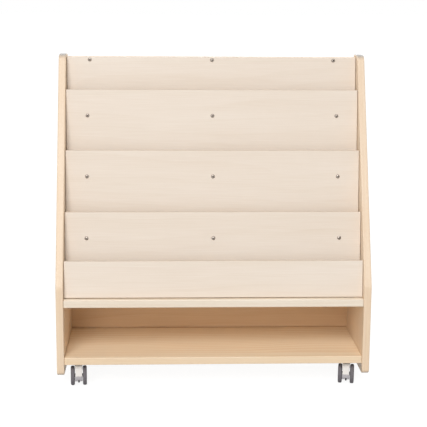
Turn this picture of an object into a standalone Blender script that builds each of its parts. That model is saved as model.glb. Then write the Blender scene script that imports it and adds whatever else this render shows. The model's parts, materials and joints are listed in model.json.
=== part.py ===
"""Mobile book display: a plywood carcass with leaning display panels, an open storage bay
and four swivelling twin-wheel casters.

Metres, +Z up. The front faces -Y, and the origin is on the floor under the middle.
A setback is a distance behind the front edge of the side panels.
"""

import math

import bmesh
import bpy
from mathutils import Matrix, Vector

# Fits
GAP = 0.0003  # between neighbours that touch
RUNNING_GAP = 0.0004  # between a pin and the bore that turns on it
CUT_OVERRUN = 0.001  # how far a cutter runs past the face that it opens
WELD = 0.00001  # points nearer than this are one point

# Side panels
INNER_WIDTH = 0.762  # between the two side panels
SIDE_THICKNESS = 0.019
SIDE_FOOT = 0.035  # underside of the side panels above the floor
SIDE_KNEE = 0.265  # height at which the front edge starts to slope
SIDE_TOP_DEPTH = 0.060  # length of the level top edge
SIDE_TOP_MARGIN = 0.007  # side panels above the top display panel
SIDE_NOSE_RADIUS = 0.018  # front corner at the top
SIDE_CORNER_RADIUS = 0.012  # the other corners
SIDE_KNEE_RADIUS = 0.040
SIDE_EDGE_ROUND = 0.002

# Shelves and storage bay
SHELF_THICKNESS = 0.019
SHELF_SETBACK = 0.003
BAY_HEIGHT = 0.1315

# Display panels, ledges and front lip
LEDGE_COUNT = 3
LEAN = math.radians(6)  # how far the panels lean back
TIER_PITCH = 0.1515  # height from one seat to the next
TIER_STEP = 0.054  # depth from one panel to the next
PANEL_THICKNESS = 0.009
PANEL_RISE = 0.2105  # seat to top edge
TOP_PANEL_RISE = 0.1405
PANEL_END_GAP = 0.001  # between a panel's end and the side panel
FIRST_PANEL_SETBACK = 0.065  # front of the lowest panel at its foot
LIP_SETBACK = 0.0195
LIP_RISE = 0.0952
LEDGE_THICKNESS = 0.015
LEDGE_TAIL = 0.002  # ledge behind the panel that stands on it

# Top rail and back panel
RAIL_THICKNESS = 0.0145  # at its top edge
RAIL_HEIGHT = 0.040
BACK_THICKNESS = 0.009
BACK_INSET = 0.010  # back panel in front of the rear edge of the sides
BACK_GROOVE_DEPTH = 0.006  # groove in each side panel that holds the back panel

# Screws that show on the display panels
DISPLAY_SCREW_HEAD_RADIUS = 0.005
DISPLAY_SCREW_HEAD_HEIGHT = 0.0028
DISPLAY_SCREW_RADIUS = 0.002
DISPLAY_SCREW_LENGTH = 0.020
DISPLAY_SCREW_END_INSET = 0.055  # from a panel's end to its outer screws
TOP_SCREW_END_INSET = 0.0595  # the same on the top panel
TOP_SCREW_DROP = 0.007  # screws of the top panel below its top edge

# Shape of every domed screw head, as shares of its radius and height
DOME_SHOULDER_RADIUS = 0.6
DOME_SHOULDER_HEIGHT = 0.8
DOME_RIM_HEIGHT = 0.3

# Dowels, each glued into one board
DOWEL_ROOT = 0.002  # how far the modelled dowel starts inside its board
SHELF_DOWEL_RADIUS = 0.004
SHELF_DOWEL_LENGTH = 0.011  # in the side panel
SHELF_DOWEL_INSET = 0.030  # outer dowels from the shelf's front and rear edges
SHELF_DOWEL_COUNT = 4  # at each end of a shelf
SLIM_DOWEL_RADIUS = 0.003
SLIM_DOWEL_LENGTH = 0.010
LEDGE_DOWEL_INSET = 0.010
RAIL_DOWEL_INSET = 0.010
FOOT_DOWEL_RADIUS = 0.0025
FOOT_DOWEL_LENGTH = 0.009  # in the ledge or shelf
FOOT_DOWEL_SPREAD = 0.190  # from the middle to each foot dowel

# Casters
WHEEL_RADIUS = 0.025
WHEEL_WIDTH = 0.010
WHEEL_SPACING = 0.0208  # between the two wheels of a caster
TREAD_WIDTH = 0.0044  # level middle of the tread
TREAD_DROP = 0.0028  # how far the tread falls to its edges
TYRE_THICKNESS = 0.006
CORE_INSET = 0.0005  # core inside the tyre's faces
AXLE_RADIUS = 0.003
AXLE_END = 0.007  # axle inside each wheel
HUB_RADIUS = 0.005
HUB_WIDTH = 0.017
CASTER_TRAIL = 0.0055  # axle beside the swivel axis
CASTER_SETBACK = 0.0414  # swivel axis from the front and rear edges of the sides
CASTER_INSET = 0.0339  # swivel axis from the side panel
CASTER_HEADINGS = {
    "front_left": math.radians(3.6),
    "front_right": math.radians(-10.5),
    "rear_left": math.radians(-9.0),
    "rear_right": math.radians(7.0),
}
BODY_RISE = 0.0099  # body above the wheels
WEB_WIDTH = 0.012
WEB_RADIUS = 0.013  # round the axle
WEB_SHOULDER = 0.0077  # half length of the web where it runs into the boss
WEB_REAR_ANGLE = math.radians(20)  # where the web leaves the circle round the axle
WEB_FRONT_ANGLE = math.radians(-220)
BOSS_RADIUS = 0.0096  # between the wheels
FLANGE_RADIUS = 0.0125  # above the wheels
FLANGE_CLEARANCE = 0.0015  # between the wheels and the flange
BOSS_FLOOR = 0.003  # boss under the kingpin
KEEL_WIDTH = 0.004
KEEL_LENGTH = 0.008
KEEL_DROP = 0.019  # lower end of the keel under the axle
KINGPIN_RADIUS = 0.005
KINGPIN_LENGTH = 0.018
KINGPIN_COLLAR_RADIUS = 0.008
KINGPIN_COLLAR = 0.002
PLATE_SIZE = 0.042
PLATE_THICKNESS = 0.0025
PLATE_SCREW_OFFSET = 0.0155
PLATE_SCREW_HEAD_RADIUS = 0.0034
PLATE_SCREW_HEAD_HEIGHT = 0.002
PLATE_SCREW_RADIUS = 0.00175
PLATE_SCREW_LENGTH = 0.014
PLATE_SCREW_ROOT = 0.0002  # how far each head is sunk into the plate

# Brake pedals of the front casters
PEDAL_RADIUS = 0.0205  # inside of the tongue, about the axle
PEDAL_THICKNESS = 0.003
PEDAL_SIDE_GAP = 0.0007  # from the tongue's top to each wheel
PEDAL_TIP_WIDTH = 0.016
PEDAL_TIP_ANGLE = math.radians(8)  # lower end of the tongue, from level in front of the axle
PEDAL_BEND_ANGLE = math.radians(20)  # where the tongue leaves its arc and runs straight up
PEDAL_TOP_DROP = 0.0039  # top of the tongue under the top of the body
PEDAL_EAR_THICKNESS = 0.0017
PEDAL_EAR_ANGLE = math.radians(19)  # middle of the ears where they meet the tongue
PEDAL_EAR_SPREAD = math.radians(22)
PEDAL_EYE_RADIUS = 0.008
PEDAL_BLOCK_RADIUS = 0.0165  # inside of the brake block behind and under the tongue
PEDAL_BLOCK_ANGLE = math.radians(-30)  # lower end of the brake block

# Facets
EAR_STEPS = 3
ARC_STEPS = 5
PEG_STEPS = 6
HEAD_STEPS = 8
PEDAL_STEPS = 8
WEB_STEPS = 10
PIN_STEPS = 12
WHEEL_STEPS = 20
SMOOTH_ANGLE = math.radians(40)  # edges sharper than this stay sharp

# Lengths that follow from the sizes above
CASTER_HEIGHT = 2 * WHEEL_RADIUS + BODY_RISE + GAP + PLATE_THICKNESS + GAP
MIDDLE_SHELF_LOW = CASTER_HEIGHT + SHELF_THICKNESS + BAY_HEIGHT
MIDDLE_SHELF_TOP = MIDDLE_SHELF_LOW + SHELF_THICKNESS
PANEL_DEPTH = PANEL_THICKNESS / math.cos(LEAN)  # a panel's thickness along Y
TOP_SEAT = LEDGE_COUNT
DISPLAY_TOP = MIDDLE_SHELF_TOP + TOP_SEAT * TIER_PITCH + TOP_PANEL_RISE
HEIGHT = DISPLAY_TOP + SIDE_TOP_MARGIN
RAIL_SETBACK = (
    FIRST_PANEL_SETBACK + TOP_SEAT * TIER_STEP + TOP_PANEL_RISE * math.tan(LEAN) + PANEL_DEPTH + GAP
)
BACK_SETBACK = RAIL_SETBACK + RAIL_THICKNESS + GAP
DEPTH = BACK_SETBACK + BACK_THICKNESS + BACK_INSET
FRONT_Y = -DEPTH / 2
REAR_Y = DEPTH / 2
SIDE_FACE = INNER_WIDTH / 2  # inner face of each side panel
BOARD_END = SIDE_FACE - GAP
PANEL_END = SIDE_FACE - PANEL_END_GAP
SHELF_REAR = BACK_SETBACK - GAP
STATIONS = {"left": -1, "middle": 0, "right": 1}
SIDE_NAMES = {-1: "side_panel_left", 1: "side_panel_right"}
BODY_TOP = 2 * WHEEL_RADIUS + BODY_RISE
KINGPIN_LOW = BODY_TOP - KINGPIN_COLLAR - KINGPIN_LENGTH
AXLE_PLACE = Matrix.Translation((0, -CASTER_TRAIL, WHEEL_RADIUS)) @ Matrix.Rotation(math.pi / 2, 4, "Y")


# Helpers


def srgb(red, green, blue):
    """A linear colour from display values of 0 to 255."""
    return tuple(((value / 255 + 0.055) / 1.055) ** 2.4 for value in (red, green, blue)) + (1.0,)


FINISHES = {
    "birch_face": (srgb(240, 229, 216), 0.45, 0.0),
    "birch_edge": (srgb(240, 214, 182), 0.50, 0.0),
    "birch_shelf": (srgb(232, 214, 190), 0.45, 0.0),
    "steel": (srgb(150, 144, 138), 0.35, 1.0),
    "zinc": (srgb(176, 176, 174), 0.45, 1.0),
    "pale_plastic": (srgb(220, 217, 212), 0.40, 0.0),
    "grey_plastic": (srgb(128, 126, 128), 0.45, 0.0),
    "grey_tyre": (srgb(104, 101, 104), 0.60, 0.0),
}


def clear_scene():
    for item in list(bpy.data.objects):
        bpy.data.objects.remove(item, do_unlink=True)


def add_collection(name):
    made = bpy.data.collections.new(name)
    bpy.context.scene.collection.children.link(made)
    return made


def add_materials():
    made = {}
    for name, (colour, roughness, metallic) in FINISHES.items():
        material = bpy.data.materials.new(name)
        material.use_nodes = True
        shader = material.node_tree.nodes["Principled BSDF"]
        shader.inputs["Base Color"].default_value = colour
        shader.inputs["Roughness"].default_value = roughness
        shader.inputs["Metallic"].default_value = metallic
        made[name] = material
    return made


clear_scene()
PARTS = add_collection("mobile_book_display")
CUTTERS = add_collection("cutters")
MATERIALS = add_materials()
HOLES = {}  # part name to the cutters that it waits for
PEGS = {}  # board name to the dowels that are glued into it


def link_helper(data, name):
    """A helper object that is evaluated and then removed, or kept as a cutter."""
    helper = bpy.data.objects.new(name, data)
    CUTTERS.objects.link(helper)
    helper.hide_render = True
    helper.display_type = "WIRE"
    return helper


def add_part(name, mesh, finish, parent=None, place=None, smooth=False):
    part = bpy.data.objects.new(name, mesh)
    PARTS.objects.link(part)
    if not mesh.materials:
        mesh.materials.append(MATERIALS[finish])
    if parent:
        part.parent = parent
    if place:
        part.matrix_basis = place
    if smooth:
        mesh.shade_smooth()
        mesh.set_sharp_from_angle(angle=SMOOTH_ANGLE)
    return part


def mesh_from(bm, name):
    bmesh.ops.remove_doubles(bm, verts=bm.verts, dist=WELD)
    bmesh.ops.recalc_face_normals(bm, faces=bm.faces)
    mesh = bpy.data.meshes.new(name)
    bm.to_mesh(mesh)
    bm.free()
    return mesh


def evaluated_mesh(helpers, name):
    """The welded mesh of the first helper after its modifiers. All the helpers are removed."""
    bpy.context.view_layer.update()
    graph = bpy.context.evaluated_depsgraph_get()
    evaluated = bpy.data.meshes.new_from_object(helpers[0].evaluated_get(graph))
    bm = bmesh.new()
    bm.from_mesh(evaluated)
    for helper in helpers:
        bpy.data.objects.remove(helper, do_unlink=True)
    return mesh_from(bm, name)


def box_mesh(name, low, high):
    """A box between its lowest and highest corner."""
    size = Vector(high) - Vector(low)
    middle = (Vector(high) + Vector(low)) / 2
    bm = bmesh.new()
    bmesh.ops.create_cube(bm, size=1, matrix=Matrix.Translation(middle) @ Matrix.Diagonal((*size, 1)))
    return mesh_from(bm, name)


def prism_mesh(name, outline, low_x, high_x, edge_round=0.0):
    """An outline of (y, z) points, extruded along X, with its long edges taken off if asked."""
    curve = bpy.data.curves.new(name, "CURVE")
    curve.dimensions = "2D"
    curve.fill_mode = "BOTH"
    curve.extrude = (high_x - low_x) / 2 - edge_round
    curve.bevel_depth = edge_round
    curve.bevel_resolution = 0
    curve.offset = -edge_round
    spline = curve.splines.new("POLY")
    spline.points.add(len(outline) - 1)
    for point, (y, z) in zip(spline.points, outline):
        point.co = (y, z, 0, 1)
    spline.use_cyclic_u = True
    mesh = evaluated_mesh([link_helper(curve, name)], name)
    standing = Matrix(((0, 0, 1, (low_x + high_x) / 2), (1, 0, 0, 0), (0, 1, 0, 0), (0, 0, 0, 1)))
    mesh.transform(standing)
    return mesh


def turned_mesh(name, profile, steps, ring=False):
    """A profile of (radius, height) points, top to bottom on the outer side, turned about Z."""
    bm = bmesh.new()
    points = [bm.verts.new((radius, 0, height)) for radius, height in profile]
    ends = points[1:] + points[:1] if ring else points[1:]
    for first, second in zip(points, ends):
        bm.edges.new((first, second))
    mesh = bpy.data.meshes.new(name)
    bm.to_mesh(mesh)
    bm.free()
    helper = link_helper(mesh, name)
    turn = helper.modifiers.new("turn", "SCREW")
    turn.steps = steps
    turn.render_steps = steps
    turn.use_merge_vertices = True
    turn.merge_threshold = WELD
    return evaluated_mesh([helper], name)


def peg_profile(radius, low, high):
    return [(0, high), (radius, high), (radius, low), (0, low)]


def joined_mesh(name, pieces):
    """One mesh with a copy of each (mesh, place)."""
    bm = bmesh.new()
    for mesh, place in pieces:
        count = len(bm.verts)
        bm.from_mesh(mesh)
        bm.verts.ensure_lookup_table()
        bmesh.ops.transform(bm, matrix=place, verts=bm.verts[count:])
    return mesh_from(bm, name)


def arc(centre, radius, start, end, steps):
    """Points on an arc, from one angle to another, both ends included."""
    turns = [start + (end - start) * step / steps for step in range(steps + 1)]
    return [(centre[0] + radius * math.cos(turn), centre[1] + radius * math.sin(turn)) for turn in turns]


def rounded_outline(corners):
    """An outline of (y, z, radius) corners with each corner rounded."""
    outline = []
    for index, (y, z, radius) in enumerate(corners):
        corner = Vector((y, z))
        before = (Vector(corners[index - 1][:2]) - corner).normalized()
        after = (Vector(corners[(index + 1) % len(corners)][:2]) - corner).normalized()
        half = before.angle(after) / 2
        middle = corner + (before + after).normalized() * radius / math.sin(half)
        first = corner + before * radius / math.tan(half) - middle
        sweep = first.angle_signed(corner + after * radius / math.tan(half) - middle)
        start = math.atan2(first.y, first.x)
        outline += arc(middle, radius, start, start - sweep, ARC_STEPS)
    return outline


def along(point, direction):
    """A place whose Z runs along the direction."""
    turn = Vector(direction).to_track_quat("Z", "Y").to_matrix().to_4x4()
    return Matrix.Translation(point) @ turn


def bore(board, place, profile, steps=PEG_STEPS):
    """Asks for a turned hole in a board."""
    HOLES.setdefault(board, []).append((turned_mesh("hole", profile, steps), place))


def cut(part, cutter, operation="DIFFERENCE"):
    boolean = part.modifiers.new(cutter.name, "BOOLEAN")
    boolean.operation = operation
    boolean.object = cutter


def dowel(board, carrier, place, radius, length):
    """A dowel glued into a board. It stands out along the place's Z, from the carrier's face."""
    peg = turned_mesh("dowel", peg_profile(radius, -GAP - DOWEL_ROOT, length), PEG_STEPS)
    PEGS.setdefault(board, []).append((peg, place))
    bore(carrier, place, peg_profile(radius + GAP, -CUT_OVERRUN, length + GAP))


def join_pegs_and_open_holes():
    """Glues in the dowels and cuts the holes, with one operand for each board and kind."""
    for board, pieces in PEGS.items():
        name = board + "_dowels"
        cut(bpy.data.objects[board], link_helper(joined_mesh(name, pieces), name), "UNION")
    for board, pieces in HOLES.items():
        name = board + "_holes"
        cut(bpy.data.objects[board], link_helper(joined_mesh(name, pieces), name))


# Places of the display


def seat_height(tier):
    """Top of the middle shelf, tier 0, or of a book ledge."""
    return MIDDLE_SHELF_TOP + tier * TIER_PITCH


def panel_top(tier):
    return DISPLAY_TOP if tier == TOP_SEAT else seat_height(tier) + PANEL_RISE


def panel_front(tier, height):
    """Y of a display panel's front face at a height."""
    foot = FRONT_Y + FIRST_PANEL_SETBACK + tier * TIER_STEP
    return foot + (height - seat_height(tier)) * math.tan(LEAN)


def panel_back(tier, height):
    return panel_front(tier, height) + PANEL_DEPTH


def lip_front(height):
    return FRONT_Y + LIP_SETBACK + (height - MIDDLE_SHELF_TOP) * math.tan(LEAN)


def panel_name(tier):
    return f"display_panel_{tier + 1}"


def ledge_name(tier):
    return f"book_ledge_{tier}"


# Boards


def add_sides():
    top_front = DEPTH - SIDE_TOP_DEPTH
    outline = rounded_outline(
        [
            (FRONT_Y, SIDE_FOOT, SIDE_CORNER_RADIUS),
            (FRONT_Y, SIDE_KNEE, SIDE_KNEE_RADIUS),
            (FRONT_Y + top_front, HEIGHT, SIDE_NOSE_RADIUS),
            (REAR_Y, HEIGHT, SIDE_CORNER_RADIUS),
            (REAR_Y, SIDE_FOOT, SIDE_CORNER_RADIUS),
        ]
    )
    for side, name in SIDE_NAMES.items():
        low_x, high_x = sorted((side * SIDE_FACE, side * (SIDE_FACE + SIDE_THICKNESS)))
        add_part(name, prism_mesh(name, outline, low_x, high_x, SIDE_EDGE_ROUND), "birch_edge")


def add_shelves():
    for name, low in (("bottom_shelf", CASTER_HEIGHT), ("middle_shelf", MIDDLE_SHELF_LOW)):
        front = (-BOARD_END, FRONT_Y + SHELF_SETBACK, low)
        rear = (BOARD_END, FRONT_Y + SHELF_REAR, low + SHELF_THICKNESS)
        add_part(name, box_mesh(name, front, rear), "birch_shelf")
        length = SHELF_REAR - SHELF_SETBACK - 2 * SHELF_DOWEL_INSET
        step = length / (SHELF_DOWEL_COUNT - 1)
        first = FRONT_Y + SHELF_SETBACK + SHELF_DOWEL_INSET
        rows = [(first + step * index, low + SHELF_THICKNESS / 2) for index in range(SHELF_DOWEL_COUNT)]
        dowel_to_sides(name, rows, SHELF_DOWEL_RADIUS, SHELF_DOWEL_LENGTH)


def add_leaning_board(name, front, seat, high, carrier):
    """A leaning panel with level edges, dowelled to its seat, from the function of its front face."""
    low = seat + GAP
    outline = [
        (front(low), low),
        (front(high), high),
        (front(high) + PANEL_DEPTH, high),
        (front(low) + PANEL_DEPTH, low),
    ]
    add_part(name, prism_mesh(name, outline, -PANEL_END, PANEL_END), "birch_face")
    for x in (-FOOT_DOWEL_SPREAD, FOOT_DOWEL_SPREAD):
        place = along((x, front(seat) + PANEL_DEPTH / 2, seat), (0, 0, -1))
        dowel(name, carrier, place, FOOT_DOWEL_RADIUS, FOOT_DOWEL_LENGTH)


def add_panels():
    for tier in range(TOP_SEAT + 1):
        add_leaning_board(
            panel_name(tier),
            lambda height, tier=tier: panel_front(tier, height),
            seat_height(tier),
            panel_top(tier),
            ledge_name(tier) if tier else "middle_shelf",
        )
    add_leaning_board(
        "front_lip", lip_front, MIDDLE_SHELF_TOP, MIDDLE_SHELF_TOP + LIP_RISE, "middle_shelf"
    )


def add_ledges():
    """Each ledge runs from the back of the panel in front to just behind its own panel."""
    for tier in range(1, TOP_SEAT + 1):
        name = ledge_name(tier)
        high = seat_height(tier)
        low = high - LEDGE_THICKNESS
        rear = panel_back(tier, high) + LEDGE_TAIL
        outline = [
            (panel_back(tier - 1, low) + GAP, low),
            (panel_back(tier - 1, high) + GAP, high),
            (rear, high),
            (rear, low),
        ]
        add_part(name, prism_mesh(name, outline, -BOARD_END, BOARD_END), "birch_shelf")
        middle = (low + high) / 2
        front = panel_back(tier - 1, middle)
        rows = [(front + LEDGE_DOWEL_INSET, middle), (rear - LEDGE_DOWEL_INSET, middle)]
        dowel_to_sides(name, rows, SLIM_DOWEL_RADIUS, SLIM_DOWEL_LENGTH)


def add_top_rail():
    low = DISPLAY_TOP - RAIL_HEIGHT
    rear = FRONT_Y + BACK_SETBACK - GAP
    outline = [
        (panel_back(TOP_SEAT, low) + GAP, low),
        (panel_back(TOP_SEAT, DISPLAY_TOP) + GAP, DISPLAY_TOP),
        (rear, DISPLAY_TOP),
        (rear, low),
    ]
    add_part("top_rail", prism_mesh("top_rail", outline, -BOARD_END, BOARD_END), "birch_shelf")
    middle = rear - RAIL_THICKNESS / 2
    rows = [(middle, low + RAIL_DOWEL_INSET), (middle, DISPLAY_TOP - RAIL_DOWEL_INSET)]
    dowel_to_sides("top_rail", rows, SLIM_DOWEL_RADIUS, SLIM_DOWEL_LENGTH)


def add_back_panel():
    """The back panel stands in a groove of each side panel."""
    front = FRONT_Y + BACK_SETBACK
    rear = front + BACK_THICKNESS
    end = SIDE_FACE + BACK_GROOVE_DEPTH - GAP
    low = (-end, front, CASTER_HEIGHT)
    add_part("back_panel", box_mesh("back_panel", low, (end, rear, DISPLAY_TOP)), "birch_shelf")
    for side, name in SIDE_NAMES.items():
        inner, outer = sorted((side * (SIDE_FACE - CUT_OVERRUN), side * (SIDE_FACE + BACK_GROOVE_DEPTH)))
        groove_low = (inner, front - GAP, CASTER_HEIGHT - GAP)
        groove = box_mesh("groove", groove_low, (outer, rear + GAP, DISPLAY_TOP + GAP))
        HOLES.setdefault(name, []).append((groove, Matrix()))


def dowel_to_sides(board, rows, radius, length):
    """Dowels from both ends of a board into the side panels, at (y, z) points."""
    for side, name in SIDE_NAMES.items():
        for y, z in rows:
            dowel(board, name, along((side * SIDE_FACE, y, z), (side, 0, 0)), radius, length)


# Screws


def pan_screw_profile(head_radius, head_height, radius, length):
    """A domed head above 0 and a shank below it."""
    return [
        (0, head_height),
        (head_radius * DOME_SHOULDER_RADIUS, head_height * DOME_SHOULDER_HEIGHT),
        (head_radius, head_height * DOME_RIM_HEIGHT),
        (head_radius, 0),
        (radius, 0),
        (radius, -length),
        (0, -length),
    ]


def add_display_screws():
    """Each panel is screwed to the ledge behind it, and the top panel to the top rail."""
    outward = (0, -math.cos(LEAN), math.sin(LEAN))
    profile = pan_screw_profile(
        DISPLAY_SCREW_HEAD_RADIUS, DISPLAY_SCREW_HEAD_HEIGHT, DISPLAY_SCREW_RADIUS, DISPLAY_SCREW_LENGTH
    )
    screw = turned_mesh("display_screw", profile, HEAD_STEPS)
    hole = peg_profile(DISPLAY_SCREW_RADIUS + GAP, -DISPLAY_SCREW_LENGTH - 2 * GAP, CUT_OVERRUN)
    for tier in range(TOP_SEAT + 1):
        height = seat_height(tier + 1) - LEDGE_THICKNESS / 2
        carrier = ledge_name(tier + 1)
        inset = DISPLAY_SCREW_END_INSET
        if tier == TOP_SEAT:
            height = DISPLAY_TOP - TOP_SCREW_DROP
            carrier = "top_rail"
            inset = TOP_SCREW_END_INSET
        for station, side in STATIONS.items():
            x = side * (PANEL_END - inset)
            place = along((x, panel_front(tier, height), height), outward)
            name = f"display_screw_{tier + 1}_{station}"
            add_part(name, screw, "steel", place=place @ Matrix.Translation((0, 0, GAP)), smooth=True)
            bore(panel_name(tier), place, hole, HEAD_STEPS)
            bore(carrier, place, hole, HEAD_STEPS)


# Casters


def plate_mesh():
    """Square fixing plate under the bottom shelf, in one piece with its four screws."""
    half = PLATE_SIZE / 2
    high = CASTER_HEIGHT - GAP
    low = high - PLATE_THICKNESS
    plate = link_helper(box_mesh("plate", (-half, -half, low), (half, half, high)), "plate")
    profile = pan_screw_profile(
        PLATE_SCREW_HEAD_RADIUS, PLATE_SCREW_HEAD_HEIGHT, PLATE_SCREW_RADIUS, PLATE_SCREW_LENGTH
    )
    screw = turned_mesh("plate_screw", profile, PEG_STEPS)
    head = low + PLATE_SCREW_ROOT
    pieces = [(screw, along((x, y, head), (0, 0, -1))) for x, y in plate_corners()]
    screws = link_helper(joined_mesh("plate_screws", pieces), "plate_screws")
    span = (low - CUT_OVERRUN, high + CUT_OVERRUN)
    hole = link_helper(
        turned_mesh("pin_hole", peg_profile(KINGPIN_RADIUS + GAP, *span), PIN_STEPS), "pin_hole"
    )
    cut(plate, screws, "UNION")
    cut(plate, hole)
    return evaluated_mesh([plate, screws, hole], "caster_plate")


def plate_corners():
    offsets = (-PLATE_SCREW_OFFSET, PLATE_SCREW_OFFSET)
    return [(x, y) for x in offsets for y in offsets]


def kingpin_profile(grow=0.0, top=CASTER_HEIGHT - GAP):
    """The pin, or with a growth the bore that turns on it."""
    return [
        (0, top),
        (KINGPIN_RADIUS + grow, top),
        (KINGPIN_RADIUS + grow, BODY_TOP),
        (KINGPIN_COLLAR_RADIUS + grow, BODY_TOP),
        (KINGPIN_COLLAR_RADIUS + grow, BODY_TOP - KINGPIN_COLLAR - grow),
        (KINGPIN_RADIUS + grow, BODY_TOP - KINGPIN_COLLAR - grow),
        (KINGPIN_RADIUS + grow, KINGPIN_LOW - grow),
        (0, KINGPIN_LOW - grow),
    ]


def axle_hole(name, radius, steps):
    """A cutter along the axle, longer than anything between the wheels."""
    mesh = turned_mesh(name, peg_profile(radius, -WHEEL_SPACING, WHEEL_SPACING), steps)
    mesh.transform(AXLE_PLACE)
    return link_helper(mesh, name)


def body_mesh():
    """The body between the wheels: a web round the axle, a boss round the kingpin and a keel."""
    boss_low = KINGPIN_LOW - RUNNING_GAP - BOSS_FLOOR
    web_high = BODY_TOP - KINGPIN_COLLAR - KINGPIN_LENGTH / 2
    axle = (-CASTER_TRAIL, WHEEL_RADIUS)
    outline = [(WEB_SHOULDER, web_high)]
    outline += arc(axle, WEB_RADIUS, WEB_REAR_ANGLE, WEB_FRONT_ANGLE, WEB_STEPS)
    outline += [(-WEB_SHOULDER, web_high)]
    body = link_helper(prism_mesh("web", outline, -WEB_WIDTH / 2, WEB_WIDTH / 2), "web")
    flange_low = 2 * WHEEL_RADIUS + FLANGE_CLEARANCE
    boss_profile = [
        (0, BODY_TOP),
        (FLANGE_RADIUS, BODY_TOP),
        (FLANGE_RADIUS, flange_low),
        (BOSS_RADIUS, flange_low),
        (BOSS_RADIUS, boss_low),
        (0, boss_low),
    ]
    boss = link_helper(turned_mesh("boss", boss_profile, PIN_STEPS), "boss")
    hub_mesh = turned_mesh("hub", peg_profile(HUB_RADIUS, -HUB_WIDTH / 2, HUB_WIDTH / 2), PIN_STEPS)
    hub_mesh.transform(AXLE_PLACE)
    hub = link_helper(hub_mesh, "hub")
    keel_low = (-KEEL_WIDTH / 2, -CASTER_TRAIL - KEEL_LENGTH / 2, WHEEL_RADIUS - KEEL_DROP)
    keel_high = (KEEL_WIDTH / 2, -CASTER_TRAIL + KEEL_LENGTH / 2, WHEEL_RADIUS - HUB_RADIUS)
    keel = link_helper(box_mesh("keel", keel_low, keel_high), "keel")
    pin_profile = kingpin_profile(RUNNING_GAP, BODY_TOP + CUT_OVERRUN)
    pin_profile[1:4] = [(KINGPIN_COLLAR_RADIUS + RUNNING_GAP, BODY_TOP + CUT_OVERRUN)]
    pin_bore = link_helper(turned_mesh("pin_bore", pin_profile, PIN_STEPS), "pin_bore")
    axle_bore = axle_hole("axle_bore", AXLE_RADIUS + GAP, PIN_STEPS)
    for piece in (boss, hub, keel):
        cut(body, piece, "UNION")
    for piece in (pin_bore, axle_bore):
        cut(body, piece)
    return evaluated_mesh([body, boss, hub, keel, pin_bore, axle_bore], "caster_body")


def core_mesh():
    """A wheel core with its outer face towards +Z and a blind bore for the axle."""
    outer = WHEEL_WIDTH / 2 - CORE_INSET
    hub_face = -(WHEEL_SPACING / 2 + WHEEL_WIDTH / 2 - HUB_WIDTH / 2 - GAP)
    bore_end = AXLE_END - WHEEL_WIDTH / 2 + GAP
    radius = WHEEL_RADIUS - TYRE_THICKNESS - GAP
    bore_radius = AXLE_RADIUS + RUNNING_GAP
    profile = [
        (0, outer),
        (radius, outer),
        (radius, -outer),
        (HUB_RADIUS, -outer),
        (HUB_RADIUS, hub_face),
        (bore_radius, hub_face),
        (bore_radius, bore_end),
        (0, bore_end),
    ]
    return level_wheel(turned_mesh("wheel_core", profile, WHEEL_STEPS))


def tyre_mesh():
    """A tyre whose facets touch the true circle of the tread."""
    outside = 1 / math.cos(math.pi / WHEEL_STEPS)
    half = WHEEL_WIDTH / 2
    inner = WHEEL_RADIUS - TYRE_THICKNESS
    profile = [
        (inner, half),
        ((WHEEL_RADIUS - TREAD_DROP) * outside, half),
        (WHEEL_RADIUS * outside, TREAD_WIDTH / 2),
        (WHEEL_RADIUS * outside, -TREAD_WIDTH / 2),
        ((WHEEL_RADIUS - TREAD_DROP) * outside, -half),
        (inner, -half),
    ]
    return level_wheel(turned_mesh("tyre", profile, WHEEL_STEPS, ring=True))


def level_wheel(mesh):
    """Turns a wheel by half a facet, so that it stands on a facet and not on an edge."""
    mesh.transform(Matrix.Rotation(math.pi / WHEEL_STEPS, 4, "Z"))
    return mesh


def tongue_side(axle, radius):
    """One long side of the tongue, from its tip round the axle and then straight up to its top."""
    points = arc(axle, radius, math.pi - PEDAL_TIP_ANGLE, math.pi - PEDAL_BEND_ANGLE, PEDAL_STEPS)
    bend_y, bend_z = points[-1]
    top_z = BODY_TOP - PEDAL_TOP_DROP
    return points + [(bend_y + (top_z - bend_z) * math.tan(PEDAL_BEND_ANGLE), top_z)]


def pedal_mesh():
    """A tapered tongue in front of the axle, on two ears that turn on the hub of the body."""
    axle = (-CASTER_TRAIL, WHEEL_RADIUS)
    outer = tongue_side(axle, PEDAL_RADIUS + PEDAL_THICKNESS)
    inner = tongue_side(axle, PEDAL_RADIUS)
    top_width = WHEEL_SPACING - 2 * PEDAL_SIDE_GAP
    tongue_mesh = prism_mesh("tongue", outer + inner[::-1], -top_width / 2, top_width / 2)
    tip_height = outer[0][1]
    top_height = outer[-1][1]
    for vertex in tongue_mesh.vertices:
        share = (vertex.co.z - tip_height) / (top_height - tip_height)
        width = PEDAL_TIP_WIDTH + (top_width - PEDAL_TIP_WIDTH) * share
        vertex.co.x *= width / top_width
    pedal = link_helper(tongue_mesh, "tongue")
    joined = [link_helper(pedal_ear_mesh(side, axle), f"ear_{side}") for side in (-1, 1)]
    joined.append(link_helper(brake_block_mesh(axle, top_width), "block"))
    eye = axle_hole("eye", HUB_RADIUS + RUNNING_GAP, PIN_STEPS)
    for piece in joined:
        cut(pedal, piece, "UNION")
    cut(pedal, eye)
    return evaluated_mesh([pedal, *joined, eye], "brake_pedal")


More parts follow.
